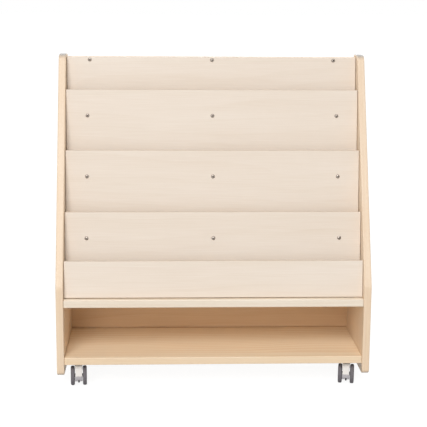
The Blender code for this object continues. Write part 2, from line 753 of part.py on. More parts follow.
def pedal_ear_mesh(side, axle):
    """A flat arm from the eye on the hub to the middle of the tongue's thickness."""
    inside = WEB_WIDTH / 2 + GAP
    low_x, high_x = sorted((side * inside, side * (inside + PEDAL_EAR_THICKNESS)))
    reach = PEDAL_RADIUS + PEDAL_THICKNESS / 2
    middle = math.pi - PEDAL_EAR_ANGLE
    half = PEDAL_EAR_SPREAD / 2
    outline = arc(axle, reach, middle + half, middle - half, EAR_STEPS)
    outline += arc(axle, PEDAL_EYE_RADIUS, middle - math.pi / 2, middle - 3 * math.pi / 2, PEDAL_STEPS)
    return prism_mesh("ear", outline, low_x, high_x)


def brake_block_mesh(axle, width):
    """A curved block that is sunk into the back of the tongue and reaches down below its tip."""
    low = math.pi - PEDAL_BLOCK_ANGLE
    high = math.pi - PEDAL_EAR_ANGLE
    outline = arc(axle, PEDAL_RADIUS + PEDAL_THICKNESS / 4, low, high, PEDAL_STEPS)
    outline += arc(axle, PEDAL_BLOCK_RADIUS, high, low, PEDAL_STEPS)
    return prism_mesh("block", outline, -width / 2, width / 2)


def add_casters():
    plate = plate_mesh()
    kingpin = turned_mesh("kingpin", kingpin_profile(), PIN_STEPS)
    body = body_mesh()
    axle_half = WHEEL_SPACING / 2 + AXLE_END
    axle = turned_mesh("axle", peg_profile(AXLE_RADIUS, -axle_half, axle_half), PIN_STEPS)
    core = core_mesh()
    tyre = tyre_mesh()
    pedal = pedal_mesh()
    pedal.transform(AXLE_PLACE.inverted())
    wheel_middle = WHEEL_SPACING / 2 + WHEEL_WIDTH / 2
    screw_reach = PLATE_SCREW_LENGTH + PLATE_SCREW_ROOT - PLATE_THICKNESS - GAP
    screw_hole = peg_profile(PLATE_SCREW_RADIUS + GAP, -CUT_OVERRUN, screw_reach + GAP)
    for corner, heading in CASTER_HEADINGS.items():
        name = "caster_" + corner
        x = SIDE_FACE - CASTER_INSET
        y = REAR_Y - CASTER_SETBACK
        spot = Vector((x if "right" in corner else -x, y if "rear" in corner else -y, 0))
        swivel = bpy.data.objects.new(name + "_swivel", None)
        PARTS.objects.link(swivel)
        swivel.location = spot
        swivel.rotation_euler.z = heading
        fixed = Matrix.Translation(spot)
        add_part(name + "_plate", plate, "zinc", place=fixed)
        add_part(name + "_kingpin", kingpin, "steel", place=fixed, smooth=True)
        add_part(name + "_body", body, "pale_plastic", swivel, smooth=True)
        add_part(name + "_axle", axle, "steel", swivel, AXLE_PLACE, smooth=True)
        for side, end in ((-1, "left"), (1, "right")):
            turn = Matrix.Rotation(side * math.pi / 2, 4, "Y")
            place = Matrix.Translation((side * wheel_middle, -CASTER_TRAIL, WHEEL_RADIUS)) @ turn
            add_part(f"{name}_wheel_core_{end}", core, "grey_plastic", swivel, place, smooth=True)
            add_part(f"{name}_tyre_{end}", tyre, "grey_tyre", swivel, place, smooth=True)
        if "front" in corner:
            add_part(name + "_brake_pedal", pedal, "pale_plastic", swivel, AXLE_PLACE, smooth=True)
        for corner_x, corner_y in plate_corners():
            place = along(spot + Vector((corner_x, corner_y, CASTER_HEIGHT)), (0, 0, 1))
            bore("bottom_shelf", place, screw_hole)


add_sides()
add_shelves()
add_panels()
add_ledges()
add_top_rail()
add_back_panel()
add_display_screws()
add_casters()
join_pegs_and_open_holes()
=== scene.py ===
"""Looks of a mobile book display, laid out as an add-on.

The solids of the display are loaded first as a fixed frame. The operators then dress them:
timber boards with rounded edges, domed screws with a cross recess, and twin-wheel casters.
Lengths are in metres, +Z is up and the front of the display faces -Y.
"""

import json
import math

import bmesh
import bpy
from bpy.props import FloatProperty, FloatVectorProperty, PointerProperty
from mathutils import Color, Matrix, Vector


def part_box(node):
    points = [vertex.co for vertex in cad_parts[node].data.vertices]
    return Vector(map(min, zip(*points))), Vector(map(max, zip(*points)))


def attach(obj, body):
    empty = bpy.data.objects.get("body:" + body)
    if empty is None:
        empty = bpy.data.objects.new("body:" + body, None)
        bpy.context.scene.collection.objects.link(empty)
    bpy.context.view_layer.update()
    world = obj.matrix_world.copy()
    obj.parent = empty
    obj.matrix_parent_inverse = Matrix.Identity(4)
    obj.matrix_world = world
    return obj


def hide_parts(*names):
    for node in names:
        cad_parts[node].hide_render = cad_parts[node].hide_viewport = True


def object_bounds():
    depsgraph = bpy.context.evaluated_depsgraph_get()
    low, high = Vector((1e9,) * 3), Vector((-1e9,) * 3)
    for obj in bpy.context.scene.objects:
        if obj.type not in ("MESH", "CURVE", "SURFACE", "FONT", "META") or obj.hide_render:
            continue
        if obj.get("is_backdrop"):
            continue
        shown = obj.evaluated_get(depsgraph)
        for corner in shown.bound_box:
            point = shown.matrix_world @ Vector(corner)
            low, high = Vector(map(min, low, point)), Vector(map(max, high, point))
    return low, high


bl_info = {
    "name": "Mobile book display",
    "version": (1, 0, 0),
    "blender": (4, 5, 0),
    "location": "3D View > Sidebar > Book display",
    "description": "Dresses the solids of a mobile book display with timber, screws and casters",
    "category": "Object",
}

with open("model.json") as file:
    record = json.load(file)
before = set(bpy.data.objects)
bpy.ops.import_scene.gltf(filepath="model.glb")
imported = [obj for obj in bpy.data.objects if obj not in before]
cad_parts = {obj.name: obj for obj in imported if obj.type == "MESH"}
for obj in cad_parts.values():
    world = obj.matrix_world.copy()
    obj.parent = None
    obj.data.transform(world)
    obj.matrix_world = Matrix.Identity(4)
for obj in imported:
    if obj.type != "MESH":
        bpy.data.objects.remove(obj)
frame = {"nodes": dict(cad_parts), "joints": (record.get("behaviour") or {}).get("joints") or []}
CAD_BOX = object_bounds()
CAD_MIDDLE = (CAD_BOX[0] + CAD_BOX[1]) / 2
JOINTS = {joint["name"]: joint for joint in frame["joints"]}

CARCASS = "carcass"
CORNERS = ("front_left", "front_right", "rear_left", "rear_right")
BRAKED_CORNERS = ("front_left", "front_right")
WHEEL_SIDES = {"left": -1, "right": 1}
TIERS = (1, 2, 3, 4)
TOP_TIER = TIERS[-1]
STATIONS = ("left", "middle", "right")
PHOTO_WIDTH = 427  # pixels
SENSOR_WIDTH = 36.0  # millimetres
WHITE = (1.0, 1.0, 1.0)

# Facets
CORNER_STEPS = 12
ROUND_STEPS = 5
SCREW_STEPS = 32
CASTER_STEPS = 48
WHEEL_STEPS = 72
PEDAL_STEPS = 24
EDGE_SEGMENTS = 3
SMALL_EDGE_SEGMENTS = 2
SMOOTH_ANGLE = math.radians(35)
BEVEL_ANGLE = math.radians(40)
TINY = 1e-7
WELD = 3e-6  # points nearer than this are one point


# Properties


def length(name, description, default):
    return FloatProperty(name=name, description=description, default=default, precision=4, unit="LENGTH")


def angle(name, description, degrees):
    return FloatProperty(name=name, description=description, default=math.radians(degrees), subtype="ANGLE")


def amount(name, description, default):
    return FloatProperty(name=name, description=description, default=default)


def place(name, description, default):
    return FloatVectorProperty(
        name=name, description=description, default=default, subtype="TRANSLATION", unit="LENGTH"
    )


def direction(name, description, default):
    return FloatVectorProperty(name=name, description=description, default=default, subtype="DIRECTION")


def display_colour(red, green, blue):
    """A linear colour from display values of 0 to 255."""
    return tuple(Color((red / 255, green / 255, blue / 255)).from_srgb_to_scene_linear())


def colour(name, description, red, green, blue):
    return FloatVectorProperty(
        name=name,
        description=description,
        default=display_colour(red, green, blue),
        min=0.0,
        max=1.0,
        subtype="COLOR",
    )


class BoardSizes(bpy.types.PropertyGroup):
    """Sizes of the boards that the solids do not give by their boxes"""

    knee_height: length("Knee height", "Height at which the front edge of the sides starts to slope", 0.265)
    knee_radius: length("Knee radius", "Radius of the sides at the knee", 0.040)
    top_depth: length("Top depth", "Length of the level top edge of the sides", 0.060)
    nose_radius: length("Nose radius", "Radius of the sides at the top in front", 0.018)
    corner_radius: length("Corner radius", "Radius of the other corners of the sides", 0.012)
    side_edge: length("Side edge", "Rounding along the edges of the sides", 0.0026)
    shelf_edge: length("Shelf edge", "Rounding along the edges of the shelves", 0.0014)
    back_rebate: length("Back rebate", "Height of the shadow line in the back panel over the bay", 0.0032)
    back_rebate_depth: length("Back rebate depth", "Depth of the shadow line in the back panel", 0.004)
    panel_edge: length("Panel edge", "Rounding along the edges of panels, ledges and rail", 0.0009)
    panel_thickness: length("Panel thickness", "Thickness of the display panels", 0.009)
    panel_end_gap: length("Panel end gap", "Gap between a display panel and the sides", 0.001)
    lip_rebate: length("Lip rebate", "Height of the shadow line under the front lip", 0.0022)
    lip_rebate_depth: length("Lip rebate depth", "Depth of the shadow line under the front lip", 0.006)
    board_gap: length("Board gap", "Gap between a board and what it touches", 0.0003)
    lean: angle("Lean", "How far the display panels lean back", 6)


class ScrewSizes(bpy.types.PropertyGroup):
    """Sizes of the domed screws on the display panels and on the caster plates"""

    head_radius: length("Head radius", "Radius of a display screw's head", 0.005)
    head_height: length("Head height", "Height of a display screw's head", 0.0028)
    shank_radius: length("Shank radius", "Radius of a display screw's shank", 0.002)
    shank_length: length("Shank length", "Length of a display screw's shank", 0.020)
    recess_reach: length("Recess reach", "From the middle of the cross recess to the end of an arm", 0.0030)
    recess_width: length("Recess width", "Width of an arm of the cross recess", 0.0013)
    recess_depth: length("Recess depth", "Depth of the cross recess", 0.0019)
    top_drop: length("Top drop", "Screws of the top panel below its top edge", 0.007)
    plate_head_radius: length("Plate head radius", "Radius of a plate screw's head", 0.0034)
    plate_head_height: length("Plate head height", "Height of a plate screw's head", 0.002)
    plate_shank_radius: length("Plate shank radius", "Radius of a plate screw's shank", 0.00175)
    plate_shank_length: length("Plate shank length", "Length of a plate screw's shank", 0.0138)


class CasterSizes(bpy.types.PropertyGroup):
    """Sizes of the twin-wheel casters"""

    wheel_radius: length("Wheel radius", "Radius of the tread", 0.025)
    wheel_width: length("Wheel width", "Width of one wheel", 0.010)
    wheel_spacing: length("Wheel spacing", "Between the two wheels of a caster", 0.0208)
    tyre_thickness: length("Tyre thickness", "Tyre from its seat to the tread", 0.006)
    trail: length("Trail", "Axle in front of the swivel axis", 0.0055)
    hub_radius: length("Hub radius", "Radius of the hub between the wheels", 0.005)
    hub_width: length("Hub width", "Length of the hub of the body", 0.017)
    axle_hole: length("Axle hole", "Radius of the body's hole for the axle", 0.0033)
    axle_bore: length("Axle bore", "Radius of the wheels' bore", 0.0034)
    pin_radius: length("Kingpin radius", "Radius of the kingpin", 0.005)
    collar_radius: length("Collar radius", "Radius of the kingpin's collar", 0.008)
    collar_height: length("Collar height", "Height of the kingpin's collar", 0.002)
    fit_gap: length("Fit gap", "Gap between pieces that are fitted together", 0.0003)
    running_gap: length("Running gap", "Gap round what turns", 0.0004)
    body_top: length("Body top", "Height of the body's flange", 0.0599)
    flange_radius: length("Flange radius", "Radius of the body above the wheels", 0.0125)
    flange_low: length("Flange underside", "Height of the flange's underside", 0.0515)
    boss_radius: length("Boss radius", "Radius of the body between the wheels", 0.0096)
    boss_low: length("Boss underside", "Height of the boss' underside", 0.0365)
    web_width: length("Web width", "Width of the web round the axle", 0.012)
    web_radius: length("Web radius", "Radius of the web round the axle", 0.013)
    web_top: length("Web top", "Height of the web's upper end", 0.0489)
    web_reach: length("Web reach", "Half the length of the web at its upper end", 0.0077)
    keel_low: length("Keel", "Height of the keel's lower end", 0.006)
    keel_length: length("Keel length", "Length of the keel", 0.008)
    keel_width: length("Keel width", "Width of the keel", 0.004)
    plate_size: length("Plate size", "Side of the square fixing plate", 0.042)
    plate_thickness: length("Plate thickness", "Thickness of the fixing plate", 0.0025)
    plate_corner: length("Plate corner", "Corner radius of the fixing plate", 0.004)
    plate_screw_offset: length("Plate screws", "Screws of the plate from its middle", 0.0155)
    pedal_radius: length("Pedal radius", "Inside of the brake pedal about the axle", 0.0205)
    pedal_thickness: length("Pedal thickness", "Thickness of the brake pedal", 0.003)
    pedal_top: length("Pedal top", "Height of the brake pedal's top", 0.056)
    pedal_top_width: length("Pedal top width", "Width of the brake pedal at its top", 0.0194)
    pedal_tip_width: length("Pedal tip width", "Width of the brake pedal at its tip", 0.016)


class FinishColours(bpy.types.PropertyGroup):
    """Colours of the finishes"""

    panel_pale: colour("Panel, pale", "Light tone of the display panels", 226, 214, 201)
    panel_dark: colour("Panel, dark", "Grain of the display panels", 211, 193, 173)
    side_pale: colour("Side, pale", "Light tone of the sides", 248, 229, 205)
    side_dark: colour("Side, dark", "Grain of the sides", 229, 199, 165)
    shelf_pale: colour("Shelf, pale", "Light tone of the bottom shelf, ledges and rail", 252, 233, 205)
    shelf_dark: colour("Shelf, dark", "Grain of the bottom shelf, ledges and rail", 238, 207, 169)
    middle_pale: colour("Middle shelf, pale", "Light tone of the middle shelf", 252, 244, 229)
    middle_dark: colour("Middle shelf, dark", "Grain of the middle shelf", 235, 217, 194)
    # The back panel's tones are browner than those of the other boards; part of that is painted shade for the
    # bay under the middle shelf.
    back_pale: colour("Back, pale", "Light tone of the back panel", 230, 196, 157)
    back_dark: colour("Back, dark", "Grain of the back panel", 213, 172, 129)
    # Darker end grain with painted shade: the top and bottom ends of the sides take this grey, lowered so
    # that they stay shaded under the lamp from behind.
    end_grain_and_shade: colour("End grain", "Ends of the sides across the grain", 158, 154, 150)
    screw: colour("Screws", "Plated steel of the screws", 168, 158, 149)
    # Painted shade: the cut faces of the cross recess take this dark colour in place of the shade inside the
    # recess.
    recess: colour("Screw recess", "Cross recess of the screws", 74, 66, 60)
    zinc: colour("Zinc", "Zinc-plated plates, kingpins and axles", 190, 190, 188)
    body: colour("Caster body", "Pale plastic of the caster bodies and pedals", 226, 222, 217)
    web: colour("Caster web", "Grey plastic of the web, hub and brake block", 176, 172, 175)
    tip: colour("Keel", "Dark keel under the hub", 52, 48, 50)
    core: colour("Wheel core", "Grey plastic of the wheels", 132, 129, 132)
    tyre: colour("Tyre", "Dark grey tread", 108, 104, 107)


class StageSettings(bpy.types.PropertyGroup):
    """Camera, lamps and floor"""

    camera_place: place("Camera place", "Where the camera stands", (-0.1325, -3.0448, 1.0336))
    camera_turn: FloatVectorProperty(
        name="Camera turn",
        description="Pitch from level, roll and heading of the camera",
        default=(-0.1960, 0.0073, -0.0443),
        subtype="EULER",
    )
    focal_pixels: amount("Focal length", "Focal length in pixels of the picture", 1188.8)
    key_strength: amount("Key", "Strength of the soft key light", 2.02)
    key_spread: angle("Key spread", "How wide the key light is, which softens its shadows", 30)
    key_place: direction("Key place", "From the display to the key light", (-0.5, -3.3, 2.45))
    rear_strength: amount("Rear", "Strength of the soft light from behind", 1.5)
    rear_spread: angle("Rear spread", "How wide the light from behind is", 100)
    rear_place: direction("Rear place", "From the display to the light behind it", (0.0, 3.3, 1.9))
    low_power: FloatProperty(
        name="Low power", description="Power of the low lamp", default=25.0, unit="POWER"
    )
    low_place: place("Low place", "Where the low lamp stands in front", (-1.2, -4.0, 1.5))
    low_size: length("Low size", "Side of the low lamp", 1.6)
    fill: amount("Fill", "Strength of the light from all round", 0.34)
    floor_size: length("Floor size", "Side of the floor", 60.0)
    floor: colour("Floor", "Colour of the floor", 200, 200, 200)
    floor_glow: amount("Floor glow", "How white the floor looks where no light falls", 0.92)
    floor_shade: amount("Floor shade", "How much of its light the floor shows, and so its shadows", 0.15)


# Shapes


def arc(centre, radius, start, end, steps):
    """Points on an arc, from one angle to another, both ends included."""
    turns = [start + (end - start) * step / steps for step in range(steps + 1)]
    return [(centre[0] + radius * math.cos(turn), centre[1] + radius * math.sin(turn)) for turn in turns]


def rounded_outline(corners, steps=CORNER_STEPS):
    """An outline of (y, z, radius) corners, each rounded unless its radius is 0."""
    outline = []
    for index, (y, z, radius) in enumerate(corners):
        corner = Vector((y, z))
        if not radius:
            outline.append((y, z))
            continue
        before = (Vector(corners[index - 1][:2]) - corner).normalized()
        after = (Vector(corners[(index + 1) % len(corners)][:2]) - corner).normalized()
        half = before.angle(after) / 2
        middle = corner + (before + after).normalized() * radius / math.sin(half)
        first = corner + before * radius / math.tan(half) - middle
        sweep = first.angle_signed(corner + after * radius / math.tan(half) - middle)
        start = math.atan2(first.y, first.x)
        outline += arc(middle, radius, start, start - sweep, steps)
    return outline


def rectangle(low, high):
    return [(low.y, low.z), (low.y, high.z), (high.y, high.z), (high.y, low.z)]


def smoothed(mesh):
    """Shades the rounds of a mesh smooth and keeps its corners sharp."""
    mesh.shade_smooth()
    mesh.set_sharp_from_angle(angle=SMOOTH_ANGLE)
    return mesh


def finished(bm, name):
    """A mesh with its faces outwards, smooth rounds and sharp corners."""
    bmesh.ops.recalc_face_normals(bm, faces=bm.faces)
    mesh = bpy.data.meshes.new(name)
    bm.to_mesh(mesh)
    bm.free()
    return smoothed(mesh)


def swept(name, sections):
    """A closed skin over sections that have the same number of points."""
    bm = bmesh.new()
    loops = [[bm.verts.new(point) for point in section] for section in sections]
    for near, far in zip(loops, loops[1:]):
        for index in range(len(near)):
            bm.faces.new((near[index - 1], near[index], far[index], far[index - 1]))
    bm.faces.new(loops[0])
    bm.faces.new(loops[-1])
    return finished(bm, name)


def prism(name, outline, low_x, high_x):
    """A closed prism along X from an outline of (y, z) points."""
    return swept(name, [[(x, y, z) for y, z in outline] for x in (low_x, high_x)])


def turned(name, profile, steps, ring=False):
    """A profile of (radius, height) points turned about Z. A ring's profile is closed."""
    bm = bmesh.new()
    turns = [2 * math.pi * step / steps for step in range(steps)]
    rings = []
    for radius, height in profile:
        if radius < TINY:
            rings.append([bm.verts.new((0, 0, height))] * steps)
        else:
            rings.append([bm.verts.new((radius * math.cos(t), radius * math.sin(t), height)) for t in turns])
    follow = rings[1:] + rings[:1] if ring else rings[1:]
    for upper, lower in zip(rings, follow):
        for step in range(steps):
            corners = (upper[step - 1], upper[step], lower[step], lower[step - 1])
            bm.faces.new(list(dict.fromkeys(corners)))
    return finished(bm, name)


def helper(mesh, material=None, spot=None):
    """An object in the scene that is not yet a piece."""
    made = bpy.data.objects.new(mesh.name, mesh)
    bpy.context.scene.collection.objects.link(made)
    if material:
        mesh.materials.append(material)
    if spot:
        made.matrix_world = spot
    return made


def round_edges(piece, width, segments=EDGE_SEGMENTS):
    rounding = piece.modifiers.new("edges", "BEVEL")
    rounding.width = width
    rounding.segments = segments
    rounding.limit_method = "ANGLE"
    rounding.angle_limit = BEVEL_ANGLE
    rounding.use_clamp_overlap = False
    rounding.harden_normals = True
    return piece


def combined(name, base, joins=(), cuts=()):
    """The mesh of a helper after other helpers are joined to it and cut from it. They are all removed."""
    for operation, others in (("UNION", joins), ("DIFFERENCE", cuts)):
        for other in others:
            step = base.modifiers.new(operation.lower(), "BOOLEAN")
            step.operation = operation
            step.object = other
            step.material_mode = "TRANSFER"
    bpy.context.view_layer.update()
    graph = bpy.context.evaluated_depsgraph_get()
    mesh = bpy.data.meshes.new_from_object(base.evaluated_get(graph))
    mesh.name = name
    for used in (base, *joins, *cuts):
        bpy.data.objects.remove(used, do_unlink=True)
    bm = bmesh.new()
    bm.from_mesh(mesh)
    bmesh.ops.remove_doubles(bm, verts=bm.verts, dist=WELD)
    bmesh.ops.dissolve_degenerate(bm, edges=bm.edges, dist=WELD)
    bm.to_mesh(mesh)
    bm.free()
    return smoothed(mesh)


def add_piece(name, mesh, spot, body, node):
    """A piece that rides on a body and stands for a solid, which it hides."""
    piece = helper(mesh, spot=spot)
    piece.name = name
    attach(piece, body)
    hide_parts(node)
    return piece


def dress_solid(node, material):
    """Gives a solid that stays in view its finish."""
    for holder in frame["nodes"][node].material_slots:
        holder.link = "OBJECT"
        holder.material = material


# Finishes

# Noise in every finish
NOISE_ROUGHNESS = 0.55
SOFT_DETAIL = 2.0
FINE_DETAIL = 3.0

# How fine the noise in timber is, per metre along the grain, across it and through the board
DRIFT_NOISE = (1.1, 5.0, 5.0)
CLOUD_NOISE = (1.3, 11.0, 11.0)
FIBRE_NOISE = (9.0, 480.0, 480.0)
STREAK_NOISE = (2.4, 12.0, 330.0)

# What the noise does to the look of timber
BOARD_SHIFT = (11.0, 0.31)  # how far the figure of two boards may differ along and across the grain
FIBRE_SHARE = 0.65  # how much of the way from the pale to the dark tone the fibres reach
CLOUD_SHARE = 0.6  # and the slow clouds
RING_GAIN = 2.0  # makes up for the clouds that thin the rings out
LATE_WOOD = 2.5  # how narrow the dark part of a growth ring is
STREAK_SHARE = 0.7  # how much the streaks on an edge show
LAYER_SHARE = 0.6  # how much streaks and layers show together on the edge of plywood
PLY_LAYER = 0.0013  # thickness of one layer of the thin plywood
FACE_SHARPNESS = 2.0  # how fast the look of a face fades where the board is rounded
END_SHARPNESS = 3.0  # and the look of an end
LACQUER_ROUGHNESS = 0.42
FIBRE_ROUGHNESS = 0.14  # what the fibres add to it
COAT_WEIGHT = 0.10
COAT_ROUGHNESS = 0.32
RING_RELIEF = 0.5  # height of the growth rings beside that of the fibres
TIMBER_BUMP = (0.10, 0.0003)  # strength and height of the relief

# How fine the noise in moulded plastic and plated steel is, per metre, and what it does to their look
MOULD_CLOUD = (60.0, 60.0, 60.0)
PLATING_CLOUD = (240.0, 240.0, 240.0)
SCRATCH_NOISE = (300.0, 4000.0, 900.0)
FINE_SKIN = 2600.0
RUBBER_SKIN = 1500.0
SKIN_ROUGHNESS = 0.16  # what the moulded skin adds to the roughness
SCRATCH_ROUGHNESS = 0.2  # and the scratches
PLATING_DARK = 0.82  # tone of the dark clouds beside that of the plating
MOULD_BUMP = (0.18, 0.0002)
SCRATCH_BUMP = (0.08, 0.0001)


class Graph:
    """Adds and links the nodes of a material or of the world."""

    def __init__(self, owner):
        owner.use_nodes = True
        self.tree = owner.node_tree

    def feed(self, socket, value):
        if isinstance(value, bpy.types.NodeSocket):
            self.tree.links.new(value, socket)
        elif socket.type == "RGBA":
            socket.default_value = (*value, 1.0)
        else:
            socket.default_value = value

    def add(self, kind, values, **settings):
        made = self.tree.nodes.new("ShaderNode" + kind)
        for key, value in settings.items():
            setattr(made, key, value)
        for socket, value in values.items():
            self.feed(made.inputs[socket], value)
        return made

    def math(self, operation, first, second=0.0, clamp=False):
        return self.add("Math", {0: first, 1: second}, operation=operation, use_clamp=clamp).outputs[0]

    def line(self, value, slope, start):
        """A value times a slope, from a start."""
        return self.math("ADD", self.math("MULTIPLY", value, slope), start)

    def mix(self, share, first, second, blend="MIX"):
        values = {0: share, 6: first, 7: second}
        return self.add("Mix", values, data_type="RGBA", blend_type=blend).outputs[2]

    def between(self, share, first, second):
        return self.add("Mix", {0: share, 2: first, 3: second}).outputs[0]

    def noise(self, point, stretch, detail=SOFT_DETAIL):
        """Noise between 0 and 1, with features of about one over the stretch along each axis."""
        scaled = self.add("VectorMath", {0: point, 1: stretch}, operation="MULTIPLY").outputs[0]
        values = {"Vector": scaled, "Scale": 1.0, "Detail": detail, "Roughness": NOISE_ROUGHNESS}
        return self.add("TexNoise", values).outputs[0]

    def bump(self, shader, height, strength, distance):
        values = {"Strength": strength, "Distance": distance, "Height": height}
        self.feed(shader.inputs["Normal"], self.add("Bump", values).outputs[0])


def finish(name, paint, *tones, **looks):
    """The material of a name. The first time it is asked for, paint makes its nodes."""
    found = bpy.data.materials.get(name)
    if found:
        return found
    material = bpy.data.materials.new(name)
    graph = Graph(material)
    paint(graph, graph.tree.nodes["Principled BSDF"], *tones, **looks)
    return material


def growth_rings(graph, point, spacing, depth, sway):
    """Rises from 0 to 1 through each growth ring. The rings lie round an axis at a depth under the board."""
    parts = graph.add("SeparateXYZ", {0: point}).outputs
    drift = graph.math("SUBTRACT", graph.noise(point, DRIFT_NOISE), 0.5)
    across = graph.line(drift, sway, parts[1])
    below = graph.math("ADD", parts[2], depth)
    squares = graph.math("ADD", graph.math("MULTIPLY", across, across), graph.math("MULTIPLY", below, below))
    return graph.math("FRACT", graph.math("DIVIDE", graph.math("SQRT", squares), spacing))


def edge_streaks(graph, point, ply):
    """Long streaks along an edge, with the layers of plywood where ply gives their thickness."""
    streak = graph.noise(point, STREAK_NOISE)
    if ply:
        height = graph.add("SeparateXYZ", {0: point}).outputs[2]
        layer = graph.math("PINGPONG", graph.math("DIVIDE", height, ply), 1.0)
        streak = graph.math("MULTIPLY", graph.math("ADD", layer, streak), LAYER_SHARE)
    return graph.math("MULTIPLY", streak, STREAK_SHARE)


def timber(graph, shader, pale, dark, end, edge_tone, ring_spacing, ring_depth, sway, figure, ply=0.0):
    """Lacquered timber with its grain along a board's own X and its thickness along Z.

    The faces show growth rings, as strongly as figure says, that slow noise sways.
    The edges are darker by the edge tone, and the ends across the grain have a colour of their own, which on
    the sides also holds a painted shade."""
    coordinates = graph.add("TexCoord", {}).outputs
    chance = graph.add("ObjectInfo", {}).outputs["Random"]
    shifts = {axis: graph.math("MULTIPLY", chance, reach) for axis, reach in enumerate(BOARD_SHIFT)}
    values = {0: coordinates["Object"], 1: graph.add("CombineXYZ", shifts).outputs[0]}
    point = graph.add("VectorMath", values, operation="ADD").outputs[0]
    normal = graph.add("SeparateXYZ", {0: coordinates["Normal"]}).outputs
    face = graph.math("POWER", graph.math("ABSOLUTE", normal[2]), FACE_SHARPNESS)
    across_grain = graph.math("POWER", graph.math("ABSOLUTE", normal[0]), END_SHARPNESS)
    cloud = graph.noise(point, CLOUD_NOISE)
    fibre = graph.noise(point, FIBRE_NOISE, FINE_DETAIL)
    ring = growth_rings(graph, point, ring_spacing, ring_depth, sway)
    late = graph.math("MULTIPLY", graph.math("POWER", ring, LATE_WOOD), figure)
    rings = graph.math("MULTIPLY", graph.math("MULTIPLY", late, cloud), RING_GAIN)
    pattern = graph.between(face, edge_streaks(graph, point, ply), rings)
    fibres = graph.math("MULTIPLY", graph.math("SUBTRACT", fibre, 0.5), FIBRE_SHARE)
    strands = graph.line(cloud, CLOUD_SHARE, fibres)
    tone = graph.mix(graph.math("ADD", pattern, strands, clamp=True), tuple(pale), tuple(dark))
    on_edge = graph.math("SUBTRACT", 1.0, face)
    tone = graph.mix(on_edge, tone, (edge_tone, edge_tone, edge_tone), "MULTIPLY")
    graph.feed(shader.inputs["Base Color"], graph.mix(across_grain, tone, tuple(end)))
    graph.feed(shader.inputs["Roughness"], graph.line(fibre, FIBRE_ROUGHNESS, LACQUER_ROUGHNESS))
    shader.inputs["Coat Weight"].default_value = COAT_WEIGHT
    shader.inputs["Coat Roughness"].default_value = COAT_ROUGHNESS
    graph.bump(shader, graph.line(late, RING_RELIEF, fibre), *TIMBER_BUMP)


def moulded(graph, shader, tone, roughness, mottle, skin=FINE_SKIN):
    """Plastic or rubber with slight clouds in its colour and a fine moulded skin."""
    point = graph.add("TexCoord", {}).outputs["Object"]
    cloud = graph.noise(point, MOULD_CLOUD, FINE_DETAIL)
    grain = graph.noise(point, (skin, skin, skin))
    darker = tuple(value * (1.0 - mottle) for value in tone)
    lighter = tuple(min(1.0, value * (1.0 + mottle)) for value in tone)
    graph.feed(shader.inputs["Base Color"], graph.mix(cloud, darker, lighter))
    graph.feed(shader.inputs["Roughness"], graph.line(grain, SKIN_ROUGHNESS, roughness))
    graph.bump(shader, grain, *MOULD_BUMP)


def plated(graph, shader, tone, roughness):
    """Plated steel with fine scratches and slight clouds in its colour."""
    point = graph.add("TexCoord", {}).outputs["Object"]
    cloud = graph.noise(point, PLATING_CLOUD, FINE_DETAIL)
    scratch = graph.noise(point, SCRATCH_NOISE)
    darker = tuple(value * PLATING_DARK for value in tone)
    graph.feed(shader.inputs["Base Color"], graph.mix(cloud, darker, tuple(tone)))
    graph.feed(shader.inputs["Roughness"], graph.line(scratch, SCRATCH_ROUGHNESS, roughness))
    shader.inputs["Metallic"].default_value = 1.0
    graph.bump(shader, scratch, *SCRATCH_BUMP)


def panel_timber(tones):
    pale, dark = tones.panel_pale, tones.panel_dark
    rings = {"ring_spacing": 0.034, "ring_depth": 0.03, "sway": 0.20, "figure": 0.09}
    return finish("panel_birch", timber, pale, dark, dark, edge_tone=1.0, ply=PLY_LAYER, **rings)


def side_timber(tones):
    pale, dark = tones.side_pale, tones.side_dark
    rings = {"ring_spacing": 0.012, "ring_depth": 0.06, "sway": 0.10, "figure": 0.40}
    # The ends of the sides take the end grain colour, which holds a painted shade.
    return finish("side_birch", timber, pale, dark, tones.end_grain_and_shade, edge_tone=0.88, **rings)


def shelf_timber(tones, middle=False):
    name, pale, dark = "shelf_birch", tones.shelf_pale, tones.shelf_dark
    if middle:
        name, pale, dark = "middle_birch", tones.middle_pale, tones.middle_dark
    rings = {"ring_spacing": 0.013, "ring_depth": 0.06, "sway": 0.12, "figure": 0.65}
    return finish(name, timber, pale, dark, dark, edge_tone=0.85, **rings)


def back_timber(tones):
    # Painted shade: part of the back's browner tone stands in for the shade in the bay.
    pale, dark = tones.back_pale, tones.back_dark
    rings = {"ring_spacing": 0.030, "ring_depth": 0.03, "sway": 0.16, "figure": 0.25}
    return finish("back_birch", timber, pale, dark, dark, edge_tone=1.0, ply=PLY_LAYER, **rings)


def zinc_plate(tones):
    return finish("zinc_plating", plated, tones.zinc, roughness=0.32)


def screw_steel(tones):
    return finish("screw_plating", plated, tones.screw, roughness=0.26)


# Painted shade for the cut faces of the cross recess: the plated steel is darkened to stand in for the shade
# inside it.
def recess_shade_paint(tones):
    return finish("screw_recess", plated, tones.recess, roughness=0.45)


def body_plastic(tones):
    return finish("caster_body_plastic", moulded, tones.body, roughness=0.34, mottle=0.03)


def web_plastic(tones):
    return finish("caster_web_plastic", moulded, tones.web, roughness=0.36, mottle=0.04)


# A very dark moulded finish, used only for the keel under the hub.
def keel_rubber(tones):
    return finish("keel_rubber", moulded, tones.tip, roughness=0.50, mottle=0.05)


def wheel_plastic(tones):
    return finish("wheel_plastic", moulded, tones.core, roughness=0.38, mottle=0.05)


def tyre_rubber(tones):
    return finish("tyre_rubber", moulded, tones.tyre, roughness=0.50, mottle=0.06, skin=RUBBER_SKIN)


# Places


def board_end(gap):
    """X of the right end of a board that stands between the sides with a gap."""
    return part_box("side_panel_right")[0].x - gap


